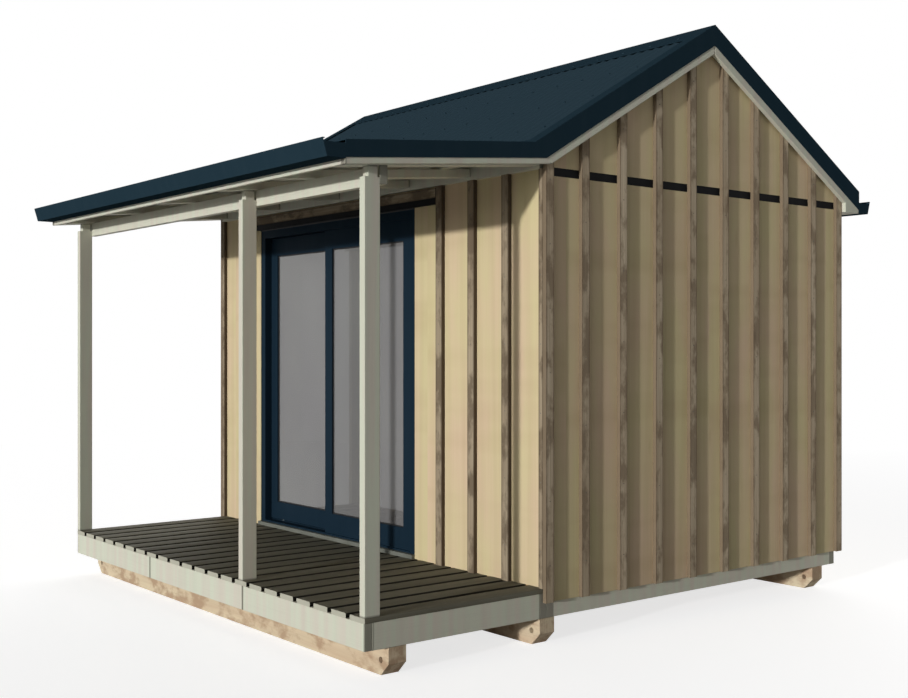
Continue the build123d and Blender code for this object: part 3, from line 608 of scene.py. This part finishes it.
# Painted shade: the door sill takes a darker grey than the other painted boards, standing in for shade
SILL_PAINTED_SHADE = plain_finish(
    "sill_painted_shade",
    tone(112, 114, 106),
    tone(98, 100, 92),
    rough=0.6,
    scale=9.0,
    bump=0.1,
    specular_ior_level=0.15,
)
SEAL_RUBBER = plain_finish(
    "seal_rubber",
    tone(22, 22, 23),
    tone(34, 34, 35),
    rough=0.6,
    scale=80.0,
    bump=0.1,
    specular_ior_level=0.3,
)
ZINC = plain_finish(
    "dull_zinc",
    tone(128, 123, 112),
    tone(108, 103, 94),
    rough=0.7,
    scale=120.0,
    bump=0.05,
    specular_ior_level=0.1,
)
SCREW_PAINT = plain_finish(
    "screw_paint", ROOF_NAVY, NAVY, rough=0.6, scale=90.0, bump=0.05, specular_ior_level=0.0
)

SLOT_OF = {row["node"]: row["material_slot"] for row in frame["record"]["subparts"]}
BODY_OF = {node: body for body, nodes in frame["record"]["behaviour"]["bodies"].items() for node in nodes}


def settle(piece, body, slot_name, *nodes):
    """Hangs a finished piece on its body and hides the nodes that it stands for. Its slot name is not used.
    """
    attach(piece, body)
    if nodes:
        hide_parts(*nodes)


def link_piece(name, mesh, material):
    piece = bpy.data.objects.new(name, mesh)
    scene.collection.objects.link(piece)
    mesh.materials.clear()
    mesh.materials.append(material)
    return piece


# Boards with eased edges, each with its own grain
def island_labels(mesh):
    """One number for each vertex, the same for all vertices of one connected board."""
    edges = np.empty(len(mesh.edges) * 2, np.int32)
    mesh.edges.foreach_get("vertices", edges)
    ends = edges.reshape(-1, 2)
    labels = np.arange(len(mesh.vertices))
    while True:
        low = np.minimum(labels[ends[:, 0]], labels[ends[:, 1]])
        settled = labels.copy()
        np.minimum.at(settled, ends[:, 0], low)
        np.minimum.at(settled, ends[:, 1], low)
        if (settled == labels).all():
            return labels
        labels = settled


def store_vectors(mesh, name, vectors):
    data = mesh.attributes.new(name, "FLOAT_VECTOR", "POINT").data
    data.foreach_set("vector", np.asarray(vectors, np.float32).ravel())


def mark_grain(mesh, seed):
    """Stores each point's place in its board and its ways to the ends and edges.

    Returns the lowest and highest corners of the boards.
    """
    count = len(mesh.vertices)
    points = np.empty(count * 3, np.float32)
    mesh.vertices.foreach_get("co", points)
    points = points.reshape(-1, 3)
    labels = island_labels(mesh)
    draw = np.random.default_rng(seed)
    places = np.zeros((count, 3), np.float32)
    tones = np.zeros(count, np.float32)
    reaches = {name: np.zeros((count, 3), np.float32) for name in ("end_reach", "edge_reach")}
    boxes = []
    for label in np.unique(labels):
        board = labels == label
        offsets = points[board] - points[board].mean(0)
        axes = np.linalg.svd(offsets, full_matrices=False)[2]
        signs = np.sign(axes[np.arange(3), np.abs(axes).argmax(1)])
        places[board] = offsets @ (axes * signs[:, None]).T + draw.uniform(0, GRAIN_SPREAD, 3)
        tones[board] = draw.uniform()
        for reach, axis in zip(reaches.values(), axes):
            run = offsets @ axis
            reach[board, 0] = run - run.min()
            reach[board, 1] = run.max() - run
        boxes.append((points[board].min(0), points[board].max(0)))
    store_vectors(mesh, "grain_place", places)
    mesh.attributes.new("piece_tone", "FLOAT", "POINT").data.foreach_set("value", tones)
    for name, reach in reaches.items():
        store_vectors(mesh, name, reach)
    return boxes


def mark_outward(mesh, node):
    """Stores the direction in which the thin boards of a node face away from their wall."""
    low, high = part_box(node)
    outward = np.zeros(3)
    outward[int(np.argmin(np.array(high) - np.array(low)))] = 1.0
    store_vectors(mesh, "outward", np.tile(outward, len(mesh.vertices)))


def eased_mesh(node, name, ease):
    """Copy of a node's solids with their sharp edges taken off."""
    shape = bmesh.new()
    shape.from_mesh(frame["nodes"][node].data)
    bmesh.ops.remove_doubles(shape, verts=shape.verts, dist=MERGE_GAP)
    flat = math.radians(FLAT_DEG)
    bmesh.ops.dissolve_limit(shape, angle_limit=flat, verts=shape.verts, edges=shape.edges)
    sharp = [
        edge
        for edge in shape.edges
        if len(edge.link_faces) == 2 and edge.calc_face_angle() > math.radians(SHARP_DEG)
    ]
    bmesh.ops.bevel(
        shape,
        geom=sharp,
        offset=ease,
        segments=EASE_STEPS,
        profile=EASE_ROUNDNESS,
        affect="EDGES",
        clamp_overlap=True,
    )
    mesh = bpy.data.meshes.new(name)
    shape.to_mesh(mesh)
    shape.free()
    return mesh


TIMBER_SLOTS = ("skid_timber", "painted_boards", "framing_pine", "batten_timber")
EASES = {"batten_timber": BATTEN_EASE, "joinery": JOINERY_EASE}
OWN_LOOKS = {"door_sill": SILL_PAINTED_SHADE, "right_battens": GABLE_BATTENS_PAINTED_LIGHT, "left_battens": GABLE_BATTENS_PAINTED_LIGHT}
BOARDS = {}


def dress_nodes():
    """Gives every node its finish; boards and joinery become copies with eased edges."""
    for order, (node, slot_name) in enumerate(sorted(SLOT_OF.items())):
        if slot_name in TIMBER_SLOTS or slot_name == "joinery":
            ending = "coated" if slot_name == "joinery" else "timber"
            mesh = eased_mesh(node, f"{node}_{ending}", EASES.get(slot_name, TIMBER_EASE))
            if slot_name in TIMBER_SLOTS:
                BOARDS[node] = mark_grain(mesh, GRAIN_SEED + order)
            if slot_name == "batten_timber":
                mark_outward(mesh, node)
            piece = link_piece(mesh.name, mesh, OWN_LOOKS.get(node, LOOKS[slot_name]))
            settle(piece, BODY_OF[node], slot_name, node)
        else:
            materials = frame["nodes"][node].data.materials
            materials.clear()
            materials.append(LOOKS[slot_name])


# Geometry trees for what repeats
def new_tree(name, inputs, takes_points=False):
    """Empty geometry tree with named inputs {name: (socket kind, default)}."""
    tree = bpy.data.node_groups.new(name, "GeometryNodeTree")
    if takes_points:
        tree.interface.new_socket("Points", in_out="INPUT", socket_type=GEOMETRY)
    for label, (kind, default) in inputs.items():
        tree.interface.new_socket(label, in_out="INPUT", socket_type=kind).default_value = default
    tree.interface.new_socket("Geometry", in_out="OUTPUT", socket_type=GEOMETRY)
    start = tree.nodes.new("NodeGroupInput")
    end = tree.nodes.new("NodeGroupOutput")
    return tree, start.outputs, end.inputs


def finish_tree(tree, geometry, end, material):
    """Ends a tree with real geometry and its material."""
    real = made(tree, "GeometryNodeRealizeInstances", {"Geometry": geometry})
    painted = made(tree, "GeometryNodeSetMaterial", {"Geometry": real, "Material": material})
    tree.links.new(painted, end["Geometry"])
    return tree


def grow(name, tree, values, points=(), aims=()):
    """Runs a geometry tree on its own sizes, or on points with aims, and keeps the result as a mesh."""
    seed = bpy.data.meshes.new(name)
    seed.from_pydata([tuple(point) for point in points], [], [])
    if len(aims):
        store_vectors(seed, "aim", aims)
    piece = bpy.data.objects.new(name, seed)
    scene.collection.objects.link(piece)
    modifier = piece.modifiers.new(name, "NODES")
    modifier.node_group = tree
    for socket in tree.interface.items_tree:
        if socket.item_type == "SOCKET" and socket.in_out == "INPUT" and socket.name in values:
            modifier[socket.identifier] = values[socket.name]
    depsgraph = bpy.context.evaluated_depsgraph_get()
    grown = piece.evaluated_get(depsgraph)
    mesh = bpy.data.meshes.new_from_object(grown, preserve_all_data_layers=True, depsgraph=depsgraph)
    piece.modifiers.remove(modifier)
    piece.data = mesh
    mesh.name = name
    return piece


def tree_axes(tree):
    """The three parts of each point's place in a geometry tree."""
    return split_axes(tree, made(tree, "GeometryNodeInputPosition"))


def random_of(tree, low, high, seed):
    """A random number between two limits for each point or instance."""
    limits = {2: low, 3: high, "Seed": seed}
    return put(tree, "FunctionNodeRandomValue", limits, data_type="FLOAT").outputs[1]


def keep_value(tree, geometry, name, value, data_type, domain):
    """Stores a value on a geometry under a name, for its material to read."""
    inputs = {"Geometry": geometry, "Name": name, "Value": value}
    return made(tree, "GeometryNodeStoreNamedAttribute", inputs, data_type=data_type, domain=domain)


def plank_tree():
    """Row of planks along Y, with rounded long edges, small height differences and their own tones."""
    tree, given, end = new_tree(
        "plank_row",
        {
            "Count": (WHOLE, 10),
            "Pitch": (FLOAT, 0.15),
            "Width": (FLOAT, 0.14),
            "Length": (FLOAT, 1.0),
            "Thickness": (FLOAT, 0.02),
            "Ease": (FLOAT, 0.004),
            "Start": (VECTOR, NO_OFFSET),
            "Wobble": (FLOAT, 0.0005),
            "Seed": (WHOLE, 1),
        },
    )
    section = {"Width": given["Width"], "Height": given["Thickness"]}
    outline = made(tree, "GeometryNodeCurvePrimitiveQuadrilateral", section)
    corners = {"Curve": outline, "Radius": given["Ease"], "Count": 2, "Limit Radius": True}
    rounded = made(tree, "GeometryNodeFilletCurve", corners, mode="POLY")
    far_end = joined_axes(tree, y=given["Length"])
    line = made(tree, "GeometryNodeCurvePrimitiveLine", {"End": far_end})
    sweep = {"Curve": line, "Profile Curve": rounded, "Fill Caps": True}
    plank = made(tree, "GeometryNodeCurveToMesh", sweep)
    step = joined_axes(tree, x=given["Pitch"])
    steps = {"Count": given["Count"], "Start Location": given["Start"], "Offset": step}
    row = made(tree, "GeometryNodeMeshLine", steps)
    low = math_of(tree, "MULTIPLY", given["Wobble"], -1.0)
    lift = joined_axes(tree, z=random_of(tree, low, given["Wobble"], given["Seed"]))
    moved = made(tree, "GeometryNodeSetPosition", {"Geometry": row, "Offset": lift})
    planks = made(tree, "GeometryNodeInstanceOnPoints", {"Points": moved, "Instance": plank})
    draw = random_of(tree, 0.0, 1.0, given["Seed"])
    tinted = keep_value(tree, planks, "piece_tone", draw, "FLOAT", "INSTANCE")
    real = made(tree, "GeometryNodeRealizeInstances", {"Geometry": tinted})
    where = tree_axes(tree)
    own = made(tree, "GeometryNodeInputNamedAttribute", {"Name": "piece_tone"}, data_type="FLOAT")
    along = math_of(tree, "ADD", where["Y"], math_of(tree, "MULTIPLY", own, GRAIN_SPREAD))
    grain = joined_axes(tree, along, where["X"], where["Z"])
    marked = keep_value(tree, real, "grain_place", grain, "FLOAT_VECTOR", "POINT")
    return finish_tree(tree, marked, end, LOOKS["deck_timber"])


def sheet_tree():
    """Corrugated sheet in its own plane, given a thickness, then turned to its slope and put in place."""
    tree, given, end = new_tree(
        "corrugated_sheet",
        {
            "Width": (FLOAT, 3.6),
            "Length": (FLOAT, 1.5),
            "Columns": (WHOLE, 600),
            "Wave Pitch": (FLOAT, WAVE_PITCH),
            "Wave Depth": (FLOAT, WAVE_DEPTH),
            "Thickness": (FLOAT, SHEET_THICKNESS),
            "Middle": (VECTOR, NO_OFFSET),
            "Turn": (ROTATION, NO_OFFSET),
        },
    )
    spans = {"Size X": given["Width"], "Size Y": given["Length"]}
    grid = made(tree, "GeometryNodeMeshGrid", spans | {"Vertices X": given["Columns"], "Vertices Y": 2})
    start = math_of(tree, "ADD", tree_axes(tree)["X"], math_of(tree, "DIVIDE", given["Width"], 2.0))
    turns = math_of(tree, "DIVIDE", start, given["Wave Pitch"])
    wave = math_of(tree, "SINE", math_of(tree, "MULTIPLY", turns, 2 * math.pi))
    height = math_of(tree, "MULTIPLY", wave, math_of(tree, "DIVIDE", given["Wave Depth"], 2.0))
    lift = joined_axes(tree, z=height)
    under = made(tree, "GeometryNodeSetPosition", {"Geometry": grid, "Offset": lift})
    rise = {"Offset": joined_axes(tree, z=1.0), "Offset Scale": given["Thickness"]}
    over = made(tree, "GeometryNodeExtrudeMesh", {"Mesh": under, "Individual": False} | rise)
    soffit = made(tree, "GeometryNodeFlipFaces", {"Mesh": under})
    joined = put(tree, "GeometryNodeJoinGeometry")
    tree.links.new(over, joined.inputs[0])
    tree.links.new(soffit, joined.inputs[0])
    both = {"Geometry": joined.outputs[0], "Distance": SHEET_MERGE_GAP}
    closed = made(tree, "GeometryNodeMergeByDistance", both)
    slope = {"Translation": given["Middle"], "Rotation": given["Turn"]}
    placed = made(tree, "GeometryNodeTransform", {"Geometry": closed} | slope)
    return finish_tree(tree, placed, end, ROOFING)


def fixing_tree(name, material, sides, top_share):
    """Head of a nail or screw, narrower at its top, on every point it is given, along the point's aim."""
    sizes = {"Radius": (FLOAT, 0.005), "Height": (FLOAT, 0.002)}
    tree, given, end = new_tree(name, sizes, takes_points=True)
    top = math_of(tree, "MULTIPLY", given["Radius"], top_share)
    cone = {"Radius Bottom": given["Radius"], "Radius Top": top, "Depth": given["Height"]}
    head = made(tree, "GeometryNodeMeshCone", {"Vertices": sides} | cone)
    aim = made(tree, "GeometryNodeInputNamedAttribute", {"Name": "aim"}, data_type="FLOAT_VECTOR")
    turn = made(tree, "FunctionNodeAlignRotationToVector", {"Vector": aim}, axis="Z")
    placing = {"Points": given["Points"], "Instance": head, "Rotation": turn}
    heads = made(tree, "GeometryNodeInstanceOnPoints", placing)
    plain = made(tree, "GeometryNodeRemoveAttribute", {"Geometry": heads, "Name": "aim"})
    return finish_tree(tree, plain, end, material)


# Deck
def lay_deck():
    """Planks from front to back on the deck frame, in place of the deck's slab, and their screws."""
    low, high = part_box("decking")
    pitch = (high.x - low.x + PLANK_GAP) / PLANK_COUNT
    width = pitch - PLANK_GAP
    planks = grow(
        "deck_planks",
        plank_tree(),
        {
            "Count": PLANK_COUNT,
            "Pitch": pitch,
            "Width": width,
            "Length": high.y - low.y,
            "Thickness": high.z - low.z,
            "Ease": PLANK_EASE,
            "Start": (low.x + width / 2, low.y, (low.z + high.z) / 2),
            "Wobble": PLANK_WOBBLE,
            "Seed": PLANK_SEED,
        },
    )
    settle(planks, "cabin", "deck_timber", "decking")

    bearers = [box for box in BOARDS["floor_joists"] if box[1][0] - box[0][0] > box[1][1] - box[0][1]]
    bearers += BOARDS["deck_back_board"] + BOARDS["deck_fascia"][:1]
    rows = [(box[0][1] + box[1][1]) / 2 for box in bearers]
    middles = [low.x + width / 2 + pitch * step for step in range(PLANK_COUNT)]
    places = [(x + side * width / 4, y, high.z) for x in middles for side in (-1, 1) for y in rows]
    screws = grow(
        "deck_screws",
        fixing_tree("deck_screw", ZINC, DECK_SCREW_SIDES, DECK_SCREW_TOP_SHARE),
        {"Radius": DECK_SCREW_RADIUS, "Height": DECK_SCREW_HEIGHT},
        places,
        [(0.0, 0.0, 1.0)] * len(places),
    )
    settle(screws, "cabin", "dark_flashing")


# Battens; each wall faces along an axis, 0 for X or 1 for Y, towards a side
BATTEN_FACES = {
    "front_battens": (1, -1),
    "back_battens": (1, 1),
    "right_battens": (0, 1),
    "left_battens": (0, -1),
}


def nail_battens():
    """One line of nails up the middle of each batten."""
    places, aims = [], []
    for node, (axis, side) in BATTEN_FACES.items():
        aim = [0.0, 0.0, 0.0]
        aim[axis] = float(side)
        for low, high in BOARDS[node]:
            along = int((high - low).argmax())
            count = max(2, round((high[along] - low[along]) / NAIL_PITCH) + 1)
            for step in np.linspace(low[along] + NAIL_END, high[along] - NAIL_END, count):
                place = (low + high) / 2
                place[axis] = high[axis] if side > 0 else low[axis]
                place[along] = step
                places.append(place)
                aims.append(aim)
    tree = fixing_tree("batten_nail", ZINC, NAIL_SIDES, NAIL_TOP_SHARE)
    nails = grow("batten_nails", tree, {"Radius": NAIL_RADIUS, "Height": NAIL_HEIGHT}, places, aims)
    settle(nails, "cabin", "dark_flashing")


# Roof
def side_edge(node):
    """Points (y, z) of a sheet's left edge."""
    points = np.array([tuple(vertex.co) for vertex in frame["nodes"][node].data.vertices])
    return points[np.isclose(points[:, 0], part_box(node)[0].x, atol=EDGE_TOLERANCE), 1:]


def screw_places(node, centre, slope):
    """Places of roofing screws on the wave tops over each purlin that lies under a sheet."""
    low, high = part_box(node)
    out = np.array([-slope[1], slope[0]])
    crests = np.arange(low.x + WAVE_PITCH / 4, high.x, WAVE_PITCH)[1::ROOF_SCREW_WAVES]
    covers = [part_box(cover_node) for cover_node in ("ridge_cap", "roof_fold_flashing")]
    places = []
    for box_low, box_high in BOARDS["roof_purlins"] + BOARDS["veranda_purlins"]:
        purlin = ((box_low + box_high) / 2)[1:]
        if abs((purlin - centre) @ out) > WAVE_PITCH or not low.y < purlin[0] < high.y:
            continue
        lift = WAVE_DEPTH / 2 + SHEET_THICKNESS
        if any(cover_low.y < purlin[0] < cover_high.y for cover_low, cover_high in covers):
            lift = lift + FLASHING_LIFT
        y, z = purlin + out * (lift - (purlin - centre) @ out)
        places += [(x, y, z) for x in crests if abs(x) < ROOF_SCREW_LIMIT]
    return places, [(0.0, *out)] * len(places)


def lay_roofing():
    """Sheets of round waves in place of the faceted ones, and the screws that hold them."""
    sheets = sheet_tree()
    places, aims = [], []
    for node in ("roof_sheet_front", "roof_sheet_back", "veranda_roof_sheet"):
        edge = side_edge(node)
        direction = np.linalg.svd(edge - edge.mean(0), full_matrices=False)[2][0]
        direction = direction * np.sign(direction[0])
        reach = edge @ direction
        middle_y, middle_z = (edge.max(0) + edge.min(0)) / 2
        centre = (middle_y, middle_z - SHEET_THICKNESS / 2)
        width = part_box(node)[1].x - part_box(node)[0].x
        found = screw_places(node, np.array(centre), direction)
        places += found[0]
        aims += found[1]
        sheet = grow(
            f"{node}_waves",
            sheets,
            {
                "Width": width,
                "Length": reach.max() - reach.min(),
                "Columns": round(width / WAVE_PITCH) * WAVE_STEPS + 1,
                "Middle": (0.0, *centre),
                "Turn": (math.atan2(direction[1], direction[0]), 0.0, 0.0),
            },
        )
        settle(sheet, "cabin", "roof_metal", node)
    tree = fixing_tree("roof_screw", SCREW_PAINT, ROOF_SCREW_SIDES, ROOF_SCREW_TOP_SHARE)
    sizes = {"Radius": ROOF_SCREW_RADIUS, "Height": ROOF_SCREW_HEIGHT}
    settle(grow("roof_screws", tree, sizes, places, aims), "cabin", "roof_metal")


# Seals round the glass and over the door
def bridge(shape, rows):
    """Faces from each row of points to the next, all the way round."""
    for row, following in zip(rows, rows[1:]):
        for side in range(len(row)):
            turn = (side + 1) % len(row)
            shape.faces.new((row[side], row[turn], following[turn], following[side]))


def outward_mesh(shape, name):
    """Mesh of a finished shape, with its faces turned outwards."""
    bmesh.ops.recalc_face_normals(shape, faces=shape.faces)
    mesh = bpy.data.meshes.new(name)
    shape.to_mesh(mesh)
    shape.free()
    return mesh


def ring_mesh(name, spans, width, axis):
    """Flat rings round openings; spans are (across low, high), (z low, high), (depth low, high)."""
    shape = bmesh.new()
    for across, up, depth in spans:
        rows = []
        for inset, level in ((0.0, depth[0]), (width, depth[0]), (width, depth[1]), (0.0, depth[1])):
            left, right = across[0] + inset, across[1] - inset
            bottom, top = up[0] + inset, up[1] - inset
            corners = ((left, bottom), (right, bottom), (right, top), (left, top))
            places = [(a, level, z) if axis == "Y" else (level, a, z) for a, z in corners]
            rows.append([shape.verts.new(place) for place in places])
        bridge(shape, rows + rows[:1])
    return outward_mesh(shape, name)


def fit_seals():
    """Black rubber seals on both faces of each pane."""
    for node, axis in (("fixed_leaf_glass", "Y"), ("sliding_leaf_glass", "Y"), ("window_glass", "X")):
        low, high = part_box(node)
        across = (low.x, high.x) if axis == "Y" else (low.y, high.y)
        faces = (low.y, high.y) if axis == "Y" else (low.x, high.x)
        up = (low.z, high.z)
        spans = [
            (across, up, (faces[0] - SEAL_DEPTH, faces[0])),
            (across, up, (faces[1], faces[1] + SEAL_DEPTH)),
        ]
        name = node.replace("glass", "seals")
        piece = link_piece(name, ring_mesh(name, spans, SEAL_WIDTH, axis), SEAL_RUBBER)
        settle(piece, BODY_OF[node], "joinery")


def seal_door_head():
    """Round bead of sealant in the corner between the door frame's head and its flashing."""
    frame_low, frame_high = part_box("door_frame")
    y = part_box("front_cladding")[0].y
    z = (frame_high.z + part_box("door_head_flashing")[0].z) / 2
    turns = [2 * math.pi * side / BEAD_SIDES for side in range(BEAD_SIDES)]
    shape = bmesh.new()
    rows = []
    for x in (frame_low.x, frame_high.x):
        around = [(x, y + BEAD_RADIUS * math.cos(turn), z + BEAD_RADIUS * math.sin(turn)) for turn in turns]
        rows.append([shape.verts.new(point) for point in around])
        shape.faces.new(rows[-1])
    bridge(shape, rows)
    mesh = outward_mesh(shape, "door_head_sealant")
    settle(link_piece(mesh.name, mesh, SEAL_RUBBER), "cabin", "dark_flashing")


# Studio, lamps and camera
def seen_directly(tree):
    """One where a ray comes from the camera, a reflection or glass, and zero elsewhere."""
    path = put(tree, "ShaderNodeLightPath").outputs
    shown = math_of(tree, "MAXIMUM", path["Is Camera Ray"], path["Is Glossy Ray"])
    return math_of(tree, "MAXIMUM", shown, path["Is Transmission Ray"])


def deck_shadow_share(tree):
    """Painted shadow on the floor: one between the skids under the deck, where the floor keeps no glow, and
    zero outside.
    """
    low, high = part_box("decking")
    spans = {
        "X": (low.x + DECK_SHADOW_LEFT_INSET, high.x - DECK_SHADOW_RIGHT_INSET),
        "Y": (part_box("skid_front")[0].y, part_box("skid_middle")[1].y),
    }
    where = split_axes(tree, object_place(tree))
    shares = []
    for axis, (start, end) in spans.items():
        half = (end - start) / 2
        offset = math_of(tree, "ABSOLUTE", math_of(tree, "SUBTRACT", where[axis], start + half))
        shares.append(ranged(tree, offset, half, half - DECK_SHADOW_FADE))
    return math_of(tree, "MULTIPLY", *shares)


def lay_floor():
    """Pale floor that fades to white far out, with a painted shadow under the deck where its glow is taken
    away.
    """
    material, tree, sockets = new_material(
        "studio_floor",
        base_color=(FLOOR_GREY, FLOOR_GREY, FLOOR_GREY, 1.0),
        roughness=FLOOR_ROUGH,
        specular_ior_level=0.0,
        emission_color=WHITE,
    )
    shown = seen_directly(tree)
    # Painted shadow: the glow is taken off the floor under the deck
    lit = math_of(tree, "SUBTRACT", FLOOR_GLOW, math_of(tree, "MULTIPLY", deck_shadow_share(tree), FLOOR_GLOW))
    tree.links.new(math_of(tree, "MULTIPLY", shown, lit), sockets["Emission Strength"])
    length = put(tree, "ShaderNodeVectorMath", {0: object_place(tree)}, operation="LENGTH")
    far_share = ranged(tree, length.outputs["Value"], *FLOOR_FADE)
    fade = math_of(tree, "MULTIPLY", far_share, shown)
    lay_over(tree, fade, made(tree, "ShaderNodeEmission", {"Color": WHITE, "Strength": 1.0}))

    mesh = bpy.data.meshes.new("studio_floor")
    half = FLOOR_HALF
    corners = [(-half, -half), (half, -half), (half, half), (-half, half)]
    mesh.from_pydata([(x, y, -FLOOR_DROP) for x, y in corners], [], [(0, 1, 2, 3)])
    link_piece("studio_floor", mesh, material)


def hang_sky():
    """White surround with an even light of its own."""
    world = bpy.data.worlds.new("studio_sky")
    world.use_nodes = True
    tree = world.node_tree
    sky = tree.nodes["Background"].inputs
    tree.links.new(ranged(tree, seen_directly(tree), 0.0, 1.0, SKY_LEVEL, 1.0), sky["Strength"])
    sky["Color"].default_value = WHITE
    scene.world = world


def hang_lamp(name, strength, softness_deg, aim):
    lamp = bpy.data.lights.new(name, "SUN")
    lamp.energy = strength
    lamp.angle = math.radians(softness_deg)
    holder = bpy.data.objects.new(name, lamp)
    holder.rotation_mode = "QUATERNION"
    holder.rotation_quaternion = Vector(aim).to_track_quat("-Z", "Y")
    scene.collection.objects.link(holder)


def set_camera():
    lens = bpy.data.cameras.new("photo_camera")
    lens.lens = CAMERA_LENS_MM
    lens.sensor_width = SENSOR_MM
    lens.shift_y = CAMERA_SHIFT_UP
    lens.clip_end = CAMERA_FAR
    camera = bpy.data.objects.new("photo_camera", lens)
    camera.location = CAMERA_PLACE
    camera.rotation_euler = (math.radians(CAMERA_TILT_DEG), 0.0, math.radians(CAMERA_TURN_DEG))
    scene.collection.objects.link(camera)
    scene.camera = camera


set_camera()
lay_floor()
hang_sky()
hang_lamp("key_lamp", KEY_STRENGTH, KEY_SOFTNESS_DEG, KEY_AIM)
hang_lamp("soft_lamp", SOFT_STRENGTH, SOFT_SOFTNESS_DEG, SOFT_AIM)
hang_lamp("back_lamp", BACK_STRENGTH, BACK_SOFTNESS_DEG, BACK_AIM)
scene.view_settings.view_transform = "Standard"

dress_nodes()
nail_battens()
lay_deck()
lay_roofing()
fit_seals()
seal_door_head()
